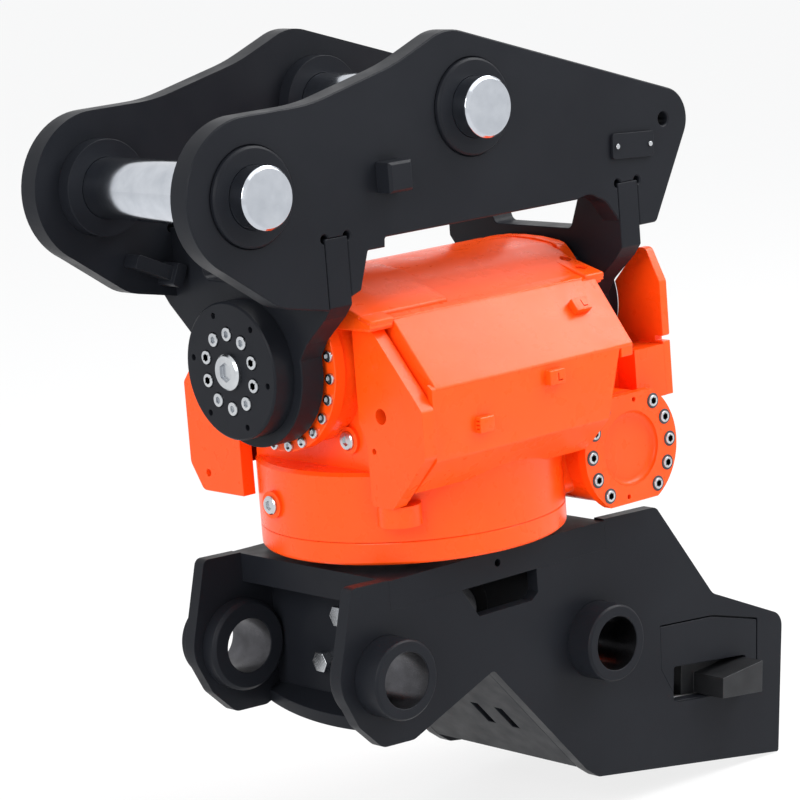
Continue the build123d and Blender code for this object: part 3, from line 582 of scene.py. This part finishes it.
    def tube(self, inner: float, outer: float, length: float) -> bmesh.types.BMesh:
        """Model a round tube on the Z axis, standing on zero, all in millimetres.

        Args:
            inner: The radius of its bore.
            outer: The radius of its outside.
            length: Its length.

        Returns:
            The mesh of the tube.
        """
        work = bmesh.new()
        wall = [
            work.verts.new((inner * MM, 0, 0)), work.verts.new((outer * MM, 0, 0)),
            work.verts.new((outer * MM, 0, length * MM)), work.verts.new((inner * MM, 0, length * MM)),
        ]
        edges = [work.edges.new((wall[index], wall[index - 1])) for index in range(4)]
        bmesh.ops.spin(
            work, geom=wall + edges, cent=(0, 0, 0), axis=(0, 0, 1), angle=math.tau, steps=64,
            use_merge=True,
        )
        bmesh.ops.remove_doubles(work, verts=work.verts, dist=MERGE)
        bmesh.ops.recalc_face_normals(work, faces=work.faces)
        return work


@dataclass(frozen=True)
class CapScrew:
    """A socket cap screw that stands on zero along Z."""

    radius: float
    height: float
    socket: float = 0.5
    depth: float = 0.55
    rim_share: float = 0.14
    sides: int = 24

    def shape(self) -> bmesh.types.BMesh:
        """Model the head with its rounded rim and its hexagon socket.

        Returns:
            The mesh of one head.
        """
        work = bmesh.new()
        rim = self.radius * self.rim_share
        loops = [
            self.ring(work, self.radius, 0.0),
            self.ring(work, self.radius, self.height - rim),
            self.ring(work, self.radius - rim * 0.35, self.height - rim * 0.3),
            self.ring(work, self.radius - rim, self.height),
            self.hexagon(work, self.radius * self.socket * 1.12, self.height),
            self.hexagon(work, self.radius * self.socket, self.height - rim * 0.5),
            self.hexagon(work, self.radius * self.socket, self.height * (1 - self.depth)),
        ]
        for lower, upper in zip(loops, loops[1:]):
            bmesh.ops.bridge_loops(work, edges=lower + upper)
        bmesh.ops.contextual_create(work, geom=loops[-1])
        bmesh.ops.contextual_create(work, geom=loops[0])
        bmesh.ops.recalc_face_normals(work, faces=work.faces)
        return work

    def place(self, joined: bmesh.types.BMesh, seat: Vector, out: Vector) -> None:
        """Add a head to a mesh that gathers many.

        Args:
            joined: The mesh that gathers them.
            seat: The middle of the face that the head stands on.
            out: The way the head points.
        """
        head = self.shape()
        turn = Vector(out).to_track_quat("Z", "Y").to_matrix().to_4x4()
        bmesh.ops.transform(head, matrix=Matrix.Translation(seat) @ turn, verts=head.verts)
        gather(joined, head)

    def ring(self, work: bmesh.types.BMesh, radius: float, height: float) -> list:
        """Add a round loop.

        Args:
            work: The mesh that it is added to.
            radius: Its radius.
            height: Its height over zero.

        Returns:
            Its edges.
        """
        made = bmesh.ops.create_circle(
            work, segments=self.sides, radius=radius, matrix=Matrix.Translation((0, 0, height))
        )
        return list({edge for vert in made["verts"] for edge in vert.link_edges})

    def hexagon(self, work: bmesh.types.BMesh, radius: float, height: float) -> list:
        """Add a six-sided loop with as many points as a round one.

        Args:
            work: The mesh that it is added to.
            radius: The distance of its corners from the middle.
            height: Its height over zero.

        Returns:
            Its edges.
        """
        made = bmesh.ops.create_circle(
            work, segments=6, radius=radius, matrix=Matrix.Translation((0, 0, height))
        )
        edges = list({edge for vert in made["verts"] for edge in vert.link_edges})
        cut = bmesh.ops.subdivide_edges(work, edges=edges, cuts=self.sides // 6 - 1)
        return list({item for item in cut["geom_inner"] if isinstance(item, bmesh.types.BMVert)
                     for item in item.link_edges})


@dataclass
class PinFrame:
    """The black frame that hangs on the excavator's two pins."""

    dresser: Dresser
    plates: tuple = ("near_cheek_plate", "far_cheek_plate", "front_tilt_bracket", "rear_tilt_bracket")
    rounds: tuple = ("pin_hub_rings", "front_tilt_flange", "rear_tilt_flange")
    trim: tuple = ("side_block", "data_plate", "lug_bar")

    def build(self) -> None:
        """Dress every piece of the frame."""
        for node in self.plates:
            self.dresser.soften(node, Finish.BLACK, 1.2)
        for node in self.rounds:
            self.dresser.soften(node, Finish.BLACK, 0.8)
        for node in self.trim:
            self.dresser.soften(node, Finish.BLACK, 0.6)
        for node in ("front_pin", "rear_pin"):
            self.dresser.soften(node, Finish.CHROME, 0.6)
        self.dresser.screws("tilt_flange_screws", Finish.ZINC, 0.52)
        for node in ("tilt_centre_bolts", "data_plate_rivets"):
            self.dresser.soften(node, Finish.ZINC, 0.3)
        self.dresser.plain("tilt_shaft", Finish.STEEL)
        self.dresser.plain("tilt_piston", Finish.STEEL)


@dataclass
class CastTop:
    """The cast top of the rotator: a low crown with shoulders that run out to the covers."""

    dresser: Dresser
    front_x: float = 150.5
    back_x: float = 512.0
    step_x: float = 283.0
    step: float = 4.0
    crown_round: float = 2.0
    collar_foot: float = 3.0
    collar_round: float = 3.0
    crown: tuple = (
        (0.0, -125.5), (30.0, -126.5), (58.0, -130.0), (82.0, -137.0), (100.0, -145.5),
        (134.0, -158.5), (148.0, -161.5),
    )
    skirt_z: float = -172.0
    sink: float = 2.0
    ear_xs: tuple = ((151.5, 186.0), (484.0, 514.0))
    ear: tuple = ((88.0, -142.0), (120.0, -151.0), (151.0, -159.5), (151.0, -166.0), (88.0, -166.0))
    holes: tuple = (
        (168.0, 101.0, 9.0), (167.0, 128.0, 9.0), (502.0, 100.0, 2.5), (499.0, 128.0, 9.0),
    )
    hole_r: float = 7.0
    head_r: float = 6.2
    head_h: float = 6.0
    hole_len: float = 60.0
    ridge: tuple = (211.3, -236.0)
    slope_xs: tuple = (186.2, 494.0)
    slope_lip: float = 3.0
    slope_turn: tuple = (8.0, 10.0)
    slope_inner: tuple = (120.0, -190.0)
    slope_drop: float = 1.0
    slope_round: float = 1.5
    slope_lean: float = 6.0
    lean_above: float = -200.0

    def height(self, across: float) -> float:
        """The height of the crown, in millimetres.

        Args:
            across: The distance from the middle plane in millimetres.

        Returns:
            The height of the crown there.
        """
        for near, far in zip(self.crown, self.crown[1:]):
            if across <= far[0]:
                share = (across - near[0]) / (far[0] - near[0])
                return near[1] + share * (far[1] - near[1])
        return self.crown[-1][1]

    def lower(self, piece: bpy.types.Object, sink: float) -> None:
        """Bring what stands above the crown down to it.

        Args:
            piece: The piece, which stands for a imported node.
            sink: How far below the crown its top ends in millimetres.
        """
        for vert in piece.data.vertices:
            top = self.height(abs(vert.co.y) / MM) - sink
            if abs(vert.co.y) < self.ear[2][0] * MM + MM and vert.co.z > top * MM:
                vert.co.z = top * MM

    def build(self) -> None:
        """Model the crown, its ears with their screws and the slopes of both covers."""
        half = [(-across, high) for across, high in reversed(self.crown)]
        skirt = self.crown[-1][0]
        loop = [(-skirt, self.skirt_z), *half, *self.crown[1:], (skirt, self.skirt_z)]
        shell = self.dresser.prism(tuple(loop), 0, self.front_x, self.back_x)
        self.dresser.round_off(shell, self.crown_round)
        first, last = loop[2], loop[-3]
        raised = (
            (first[0], first[1] - self.collar_foot),
            *((across, high + self.step) for across, high in loop[2:-2]),
            (last[0], last[1] - self.collar_foot),
        )
        collar = self.dresser.prism(raised, 0, self.front_x, self.step_x)
        self.dresser.round_off(collar, self.collar_round)
        self.dresser.extra(self.dresser.piece(collar, "cast_collar"), "rotator", Finish.ORANGE)
        crown = self.dresser.piece(shell, "cast_crown")
        self.dresser.extra(crown, "rotator", Finish.ORANGE)
        self.ears()
        self.slopes()

    def ears(self) -> None:
        """Four ears that lie on the crown's corners, each with two sunk cap screws."""
        joined = bmesh.new()
        cutter = bmesh.new()
        screws = bmesh.new()
        for side in (-1, 1):
            profile = tuple((side * place[0], place[1]) for place in self.ear)
            for start, stop in self.ear_xs:
                ear = self.dresser.prism(profile, 0, start, stop)
                self.dresser.round_off(ear, self.crown_round)
                gather(joined, ear)
            for along, across, depth in self.holes:
                seat = Vector((along, side * across, self.height(across) - depth - self.head_h)) * MM
                drilled = bmesh.ops.create_cone(
                    cutter, cap_ends=True, segments=24, radius1=self.hole_r * MM,
                    radius2=self.hole_r * MM, depth=self.hole_len * MM,
                )
                middle = seat + Vector((0, 0, self.hole_len * MM / 2))
                bmesh.ops.translate(cutter, verts=drilled["verts"], vec=middle)
                CapScrew(self.head_r * MM, self.head_h * MM).place(screws, seat, Vector((0, 0, 1)))
        ears = self.dresser.piece(joined, "cast_ears")
        crown = bpy.data.objects["cast_crown"]
        spare = cutter.copy()
        self.dresser.drill(ears, cutter)
        self.dresser.drill(crown, spare)
        self.dresser.extra(ears, "rotator", Finish.ORANGE)
        self.dresser.extra(self.dresser.piece(screws, "ear_screws"), "rotator", Finish.ZINC)

    def slopes(self) -> None:
        """The folded slope of each side cover, from its ridge up to the crown."""
        ridge_y, ridge_z = self.ridge
        inner_y, inner_z = self.slope_inner
        crease_y, crease_z = self.crown[-1][0], self.crown[-1][1] - self.slope_drop
        section = (
            (ridge_y, ridge_z), (ridge_y, ridge_z - self.slope_lip),
            (ridge_y - self.slope_turn[0], ridge_z - self.slope_turn[1]),
            (inner_y, inner_z), (inner_y, crease_z), (crease_y, crease_z),
        )
        for side, name in ((-1, "near_cover_slope"), (1, "far_cover_slope")):
            profile = tuple((side * across, high) for across, high in section)
            slope = self.dresser.prism(profile, 0, *self.slope_xs)
            for vert in slope.verts:
                if vert.co.x > self.slope_xs[1] * MM - MM and vert.co.z > self.lean_above * MM:
                    vert.co.x += self.slope_lean * MM
            self.dresser.round_off(slope, self.slope_round)
            self.dresser.extra(self.dresser.piece(slope, name), "rotator", Finish.ORANGE)


@dataclass
class CoverLatches:
    """The three latches of the near side cover."""

    dresser: Dresser
    cover_y: float = -211.0
    knobbed: tuple = ((361.0, -253.0),)
    plain: tuple = ((252.0, -287.0),)
    slope_x: float = 445.0
    slope_share: float = 0.62
    ridge: tuple = (-211.3, -236.0)
    crease: tuple = (-148.0, -162.0)
    height: float = 9.0
    foot: float = -1.0
    knobbed_xs: tuple = (-9.0, 15.0)
    knobbed_half: float = 8.5
    knobbed_round: float = 1.6
    knob_x: float = -12.0
    knob_r: float = 7.5
    knob_sides: int = 10
    knob_share: float = 0.7
    knob_round: float = 1.8
    slit_loop: tuple = ((3, -4.5), (10, -4.5), (10, -3.0), (4.6, -3.0), (4.6, 5.0), (3, 5.0))
    slit_depth: float = 4.0
    slit_over: float = 2.0
    plain_xs: tuple = (-11.0, 11.0)
    plain_half: float = 9.0
    plain_round: float = 2.0
    side_slit_xs: tuple = (-13.0, -7.5)
    side_slit_ys: tuple = (-5.0, -0.5, 4.0)
    side_slit_w: float = 1.6
    side_slit_zs: tuple = (2.0, 7.5)

    def block(self, ends: tuple, half: float) -> bmesh.types.BMesh:
        """A block that lies on zero.

        Args:
            ends: Its left and right end in millimetres.
            half: Half of its width in millimetres.

        Returns:
            Its mesh.
        """
        left, right = ends
        profile = ((left, -half), (right, -half), (right, half), (left, half))
        return self.dresser.prism(profile, 2, self.foot, self.height)

    def knobbed_latch(self) -> bmesh.types.BMesh:
        """A latch that lies on zero, with a round knob at its left.

        Returns:
            Its mesh.
        """
        body = self.block(self.knobbed_xs, self.knobbed_half)
        self.dresser.round_off(body, self.knobbed_round)
        turns = [math.tau * turn / self.knob_sides for turn in range(self.knob_sides)]
        profile = tuple(
            (self.knob_x + self.knob_r * math.cos(turn), self.knob_r * math.sin(turn)) for turn in turns
        )
        knob = self.dresser.prism(profile, 2, self.foot, self.height * self.knob_share)
        self.dresser.round_off(knob, self.knob_round)
        gather(body, knob)
        return body

    def slit(self) -> bmesh.types.BMesh:
        """The cutter of a knobbed latch's angled slit.

        Returns:
            Its mesh.
        """
        start = self.height - self.slit_depth
        return self.dresser.prism(self.slit_loop, 2, start, self.height + self.slit_over)

    def plain_latch(self) -> bmesh.types.BMesh:
        """A square latch that lies on zero.

        Returns:
            Its mesh.
        """
        body = self.block(self.plain_xs, self.plain_half)
        self.dresser.round_off(body, self.plain_round)
        return body

    def side_slits(self) -> bmesh.types.BMesh:
        """The cutters of the three slits in the left end of the square latch.

        Returns:
            Their mesh.
        """
        cut = bmesh.new()
        left, right = self.side_slit_xs
        for low in self.side_slit_ys:
            high = low + self.side_slit_w
            profile = ((left, low), (right, low), (right, high), (left, high))
            gather(cut, self.dresser.prism(profile, 2, *self.side_slit_zs))
        return cut

    def build(self) -> None:
        """Model the latches in their places."""
        onto_side = Matrix.Rotation(math.radians(90), 4, "X")
        rise = math.atan2(self.crease[1] - self.ridge[1], self.crease[0] - self.ridge[0])
        onto_slope = Matrix.Rotation(rise, 4, "X")
        share = self.slope_share
        slope_y = self.ridge[0] + share * (self.crease[0] - self.ridge[0])
        slope_z = self.ridge[1] + share * (self.crease[1] - self.ridge[1])
        places = [(Vector((x, self.cover_y, z)), onto_side, True) for x, z in self.knobbed]
        places += [(Vector((x, self.cover_y, z)), onto_side, False) for x, z in self.plain]
        places.append((Vector((self.slope_x, slope_y, slope_z)), onto_slope, True))
        joined = bmesh.new()
        cutter = bmesh.new()
        for place, turn, knobbed in places:
            body = self.knobbed_latch() if knobbed else self.plain_latch()
            cut = self.slit() if knobbed else self.side_slits()
            for part, whole in ((body, joined), (cut, cutter)):
                bmesh.ops.transform(part, matrix=Matrix.Translation(place * MM) @ turn, verts=part.verts)
                gather(whole, part)
        latches = self.dresser.piece(joined, "cover_latches")
        self.dresser.drill(latches, cutter)
        self.dresser.settle(latches, "cover_clips", Finish.ORANGE)


@dataclass
class Rotator:
    """The orange body that tilts on the shaft and slews the coupler."""

    dresser: Dresser
    castings: tuple = (
        "rotator_casting", "front_end_ring", "rear_end_ring", "bearing_retainer",
        "worm_end_cover", "worm_motor_cover",
    )
    sheets: tuple = (
        "near_front_plate", "far_front_plate", "near_side_cover", "far_side_cover",
        "near_rear_plate", "far_rear_plate", "rear_guard",
    )
    lowered: tuple = ("rotator_casting", "front_end_ring", "rear_end_ring")
    worm_axis: tuple = (521.0, -370.0)
    worm_face: float = 170.0
    pocket_r: float = 44.0
    pocket_depth: float = 7.0
    pocket_round: float = 7.0
    pocket_wall: float = 0.5
    pocket_sink: float = 1.0
    pocket_turns: tuple = (0, 15, 30, 45, 60, 75, 90)
    # The thin dark ring round each worm cover screw head is painted shade of the gap in its recess.
    gap_shade_tube: tuple = (5.5, 9.2, 0.8)
    gap_shade_round: float = 0.3

    def build(self) -> None:
        """Dress every piece of the rotator."""
        top = CastTop(self.dresser)
        for node in self.castings:
            piece = self.dresser.soften(node, Finish.ORANGE, 1.5, 3)
            if node in self.lowered:
                top.lower(piece, top.sink if node == "rotator_casting" else 0.0)
        top.build()
        CoverLatches(self.dresser).build()
        for node in self.sheets:
            self.dresser.soften(node, Finish.ORANGE, 0.9)
        self.dresser.soften("casting_plugs", Finish.ZINC, 0.3)
        self.dresser.screws("end_ring_screws", Finish.ZINC, 0.55, under=top)
        self.dresser.screws("worm_cover_screws", Finish.ZINC, 0.55)
        self.screw_gap_shade()
        self.pocket()
        self.dresser.soften("slewing_motor", Finish.BLACK, 1.0)
        self.dresser.plain("worm_bearings", Finish.STEEL)
        self.dresser.plain("slide_ring", Finish.BRONZE)
        self.dresser.plain("swivel_sleeve", Finish.STEEL)
        self.dresser.plain("worm_shaft", Finish.STEEL)

    def screw_gap_shade(self) -> None:
        """A thin dark ring under each cap screw of the two worm covers: painted shade that stands for the
        shaded gap round each sunk head.
        """
        joined = bmesh.new()
        for low, high in self.dresser.solids("worm_cover_screws"):
            side = 1.0 if low.y > 0 else -1.0
            seat = Vector(((low.x + high.x) / 2, side * self.worm_face * MM, (low.z + high.z) / 2))
            # A dark oiled-steel ring as painted shade of the gap round the sunk head.
            ring = self.dresser.tube(*self.gap_shade_tube)
            self.dresser.round_off(ring, self.gap_shade_round)
            turn = Vector((0, side, 0)).to_track_quat("Z", "Y").to_matrix().to_4x4()
            bmesh.ops.transform(ring, matrix=Matrix.Translation(seat) @ turn, verts=ring.verts)
            gather(joined, ring)
        self.dresser.extra(self.dresser.piece(joined, "worm_screw_gap_shade"), "rotator", Finish.DARK_SCREW)

    def pocket(self) -> None:
        """The round at the foot of the pocket in the near worm cover."""
        work = bmesh.new()
        floor = self.worm_face - self.pocket_depth
        arc = [
            (self.pocket_r - self.pocket_round * (1 - math.cos(turn)),
             floor + self.pocket_round * (1 - math.sin(turn)))
            for turn in (math.radians(degrees) for degrees in self.pocket_turns)
        ]
        wall_r = self.pocket_r + self.pocket_wall
        loop = [
            (wall_r, floor + self.pocket_round), *arc,
            (self.pocket_r - self.pocket_round, floor - self.pocket_sink),
            (wall_r, floor - self.pocket_sink),
        ]
        verts = [work.verts.new((radius * MM, -place * MM, 0)) for radius, place in loop]
        edges = [work.edges.new((verts[index], verts[index - 1])) for index in range(len(verts))]
        bmesh.ops.spin(
            work, geom=verts + edges, cent=(0, 0, 0), axis=(0, 1, 0), angle=math.tau, steps=72,
            use_merge=True,
        )
        bmesh.ops.remove_doubles(work, verts=work.verts, dist=MERGE)
        bmesh.ops.recalc_face_normals(work, faces=work.faces)
        bmesh.ops.translate(work, verts=work.verts, vec=(self.worm_axis[0] * MM, 0, self.worm_axis[1] * MM))
        self.dresser.extra(self.dresser.piece(work, "worm_cover_pocket"), "rotator", Finish.ORANGE)


@dataclass
class WedgeCoupler:
    """The black coupler under the rotator, with its wedge."""

    dresser: Dresser
    plates: tuple = (
        "near_side_plate", "far_side_plate", "coupler_top_plate", "window_inserts", "jaw_plate",
        "jaw_roof", "front_wall", "rear_slope_plate", "rear_tail_plate", "cylinder_foot",
        "front_boss_bushes", "rear_boss_bushes",
    )
    bore_r: float = 32.5
    bore_mouth: float = 1.0
    liner_proud: float = 0.2
    liner_sunk: float = 0.3

    def build(self) -> None:
        """Dress every piece of the coupler."""
        for node in self.plates:
            self.dresser.soften(node, Finish.BLACK, 1.0)
        for node in ("wedge_guides", "wedge_cylinder"):
            self.dresser.soften(node, Finish.STEEL, 0.6)
        for node in ("locking_wedge", "indicator_pin"):
            self.dresser.soften(node, Finish.WEDGE, 0.6)
        self.bore_liners()
        self.dresser.soften("hose_ports", Finish.ZINC, 0.4)
        self.dresser.screws("rotor_bolts", Finish.DARK_SCREW, facing=(0, 0, -1))
        self.dresser.plain("rotor_hub", Finish.STEEL)
        self.dresser.plain("worm_wheel", Finish.BRONZE)
        self.dresser.plain("swivel_core", Finish.STEEL)

    def bore_liners(self) -> None:
        """The machined wall of each bore of the four bosses."""
        joined = bmesh.new()
        turn = Matrix.Rotation(math.radians(-90), 4, "X")
        for node in ("front_boss_bushes", "rear_boss_bushes"):
            for low, high in self.dresser.solids(node):
                length = (high.y - low.y) / MM - 2 * self.bore_mouth
                liner = self.dresser.tube(
                    self.bore_r - self.liner_proud, self.bore_r + self.liner_sunk, length
                )
                place = Vector((
                    (low.x + high.x) / 2, low.y + self.bore_mouth * MM, (low.z + high.z) / 2
                ))
                bmesh.ops.transform(liner, matrix=Matrix.Translation(place) @ turn, verts=liner.verts)
                gather(joined, liner)
        self.dresser.extra(self.dresser.piece(joined, "boss_bores"), "coupler", Finish.DARK_SCREW)


@dataclass
class Studio:
    """The pale floor, the soft lights and the camera of the photograph."""

    eye: tuple = (-2.22074, -2.95813, 0.42522)
    heading: float = math.radians(49.4)
    dip: float = math.radians(10.4)
    roll: float = math.radians(-4.51)
    lens: float = 152.14
    sensor: float = 36.0
    floor_z: float = -0.81
    floor_half: float = 60.0
    sky: float = 0.8
    floor_glow: float = 0.8
    bands: tuple = ((0.0, 0.55), (0.47, 0.42), (0.53, 0.16), (0.60, 0.30), (0.70, 1.0), (1.0, 1.0))

    def build(self) -> None:
        """Set the whole scene round the object."""
        self.camera()
        self.world()
        self.floor()
        self.lamps()
        bpy.context.scene.view_settings.view_transform = "Standard"

    def camera(self) -> None:
        """Place the camera as the photograph was taken."""
        level = math.cos(self.dip)
        look = Vector(
            (math.cos(self.heading) * level, math.sin(self.heading) * level, -math.sin(self.dip))
        )
        right = look.cross(Vector((0, 0, 1))).normalized()
        up = right.cross(look)
        turn = Matrix.Rotation(-self.roll, 3, look)
        axes = Matrix((turn @ right, turn @ up, -look)).transposed()
        data = bpy.data.cameras.new("camera")
        data.lens = self.lens
        data.sensor_width = self.sensor
        data.clip_end = 100.0
        camera = bpy.data.objects.new("camera", data)
        camera.matrix_world = Matrix.Translation(self.eye) @ axes.to_4x4()
        bpy.context.scene.collection.objects.link(camera)
        bpy.context.scene.camera = camera

    def world(self) -> None:
        """A plain sky that is white where it is seen directly or mirrored."""
        world = bpy.data.worlds.new("studio")
        world.use_nodes = True
        nodes = world.node_tree.nodes
        links = world.node_tree.links
        nodes.clear()
        output = nodes.new("ShaderNodeOutputWorld")
        seen = nodes.new("ShaderNodeBackground")
        seen.inputs["Strength"].default_value = 1.0
        seen.inputs["Color"].default_value = (1.0, 1.0, 1.0, 1.0)
        cast = nodes.new("ShaderNodeBackground")
        cast.inputs["Strength"].default_value = self.sky
        coords = nodes.new("ShaderNodeTexCoord")
        height = nodes.new("ShaderNodeSeparateXYZ")
        links.new(coords.outputs["Generated"], height.inputs["Vector"])
        share = nodes.new("ShaderNodeMapRange")
        share.inputs["From Min"].default_value = -1.0
        links.new(height.outputs["Z"], share.inputs["Value"])
        ramp = nodes.new("ShaderNodeValToRGB")
        steps = ramp.color_ramp.elements
        steps.remove(steps[1])
        for index, (place, level) in enumerate(self.bands):
            step = steps.new(place) if index else steps[0]
            step.position = place
            step.color = (level * 0.96, level * 0.98, level, 1.0)
        links.new(share.outputs["Result"], ramp.inputs["Fac"])
        links.new(ramp.outputs["Color"], cast.inputs["Color"])
        mix = nodes.new("ShaderNodeMixShader")
        links.new(self.seen_rays(nodes, links), mix.inputs["Fac"])
        links.new(cast.outputs["Background"], mix.inputs[1])
        links.new(seen.outputs["Background"], mix.inputs[2])
        links.new(mix.outputs["Shader"], output.inputs["Surface"])
        bpy.context.scene.world = world

    def seen_rays(
        self, nodes: bpy.types.Nodes, links: bpy.types.NodeLinks
    ) -> bpy.types.NodeSocket:
        """Tell the rays that show the background from the rays that light the object.

        Args:
            nodes: The nodes of the tree.
            links: The links of the tree.

        Returns:
            The socket that is 1 for rays from the camera, off a mirror or through glass.
        """
        path = nodes.new("ShaderNodeLightPath")
        total = path.outputs["Is Camera Ray"]
        for name in ("Is Glossy Ray", "Is Transmission Ray"):
            adder = nodes.new("ShaderNodeMath")
            adder.operation = "ADD"
            adder.use_clamp = True
            links.new(total, adder.inputs[0])
            links.new(path.outputs[name], adder.inputs[1])
            total = adder.outputs["Value"]
        return total

    def floor(self) -> None:
        """A wide pale floor under the object."""
        work = bmesh.new()
        bmesh.ops.create_grid(work, x_segments=2, y_segments=2, size=self.floor_half)
        bmesh.ops.translate(work, verts=work.verts, vec=(0, 0, self.floor_z))
        mesh = bpy.data.meshes.new("floor")
        work.to_mesh(mesh)
        work.free()
        floor = bpy.data.objects.new("floor", mesh)
        bpy.context.scene.collection.objects.link(floor)
        tree = NodeTree("pale floor")
        diffuse = tree.add("ShaderNodeBsdfDiffuse")
        diffuse.inputs["Color"].default_value = (0.93, 0.93, 0.93, 1.0)
        glow = tree.add("ShaderNodeEmission")
        glow.inputs["Strength"].default_value = 1.0
        mix = tree.add("ShaderNodeMixShader")
        mix.inputs["Fac"].default_value = self.floor_glow
        choose = tree.add("ShaderNodeMixShader")
        tree.link(diffuse.outputs["BSDF"], mix.inputs[1])
        tree.link(glow.outputs["Emission"], mix.inputs[2])
        tree.link(self.seen_rays(tree.nodes, tree.links), choose.inputs["Fac"])
        tree.link(diffuse.outputs["BSDF"], choose.inputs[1])
        tree.link(mix.outputs["Shader"], choose.inputs[2])
        tree.link(choose.outputs["Shader"], tree.output.inputs["Surface"])
        mesh.materials.append(tree.material)

    def lamps(self) -> None:
        """Four soft lamps: above, on the left, on the right, and high over the rear."""
        self.lamp("top", (0.2, -1.2, 3.2), (0.3, 0.0, -0.2), 2.6, 18.0)
        self.lamp("left", (-3.0, -1.2, 1.2), (0.2, 0.0, -0.3), 1.8, 75.0)
        self.lamp("right", (2.2, -2.6, 0.9), (0.4, 0.0, -0.4), 1.4, 12.0)
        self.lamp("back", (2.8, -1.35, 2.65), (0.3, -0.18, -0.2), 3.0, 175.0)

    def lamp(self, name: str, place: tuple, target: tuple, size: float, power: float) -> None:
        """Add one square area lamp.

        Args:
            name: Its name.
            place: Where it stands.
            target: The point that it faces.
            size: The length of its side.
            power: Its power in watts.
        """
        data = bpy.data.lights.new(name, "AREA")
        data.size = size
        data.energy = power
        lamp = bpy.data.objects.new(name, data)
        lamp.location = place
        lamp.rotation_euler = (Vector(target) - Vector(place)).to_track_quat("-Z", "Y").to_euler()
        bpy.context.scene.collection.objects.link(lamp)


def main() -> None:
    """Build the scene."""
    logging.basicConfig(level=logging.INFO, format="%(message)s")
    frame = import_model()
    dresser = Dresser(frame)
    Studio().build()
    PinFrame(dresser).build()
    Rotator(dresser).build()
    WedgeCoupler(dresser).build()


if __name__ == "__main__":
    main()
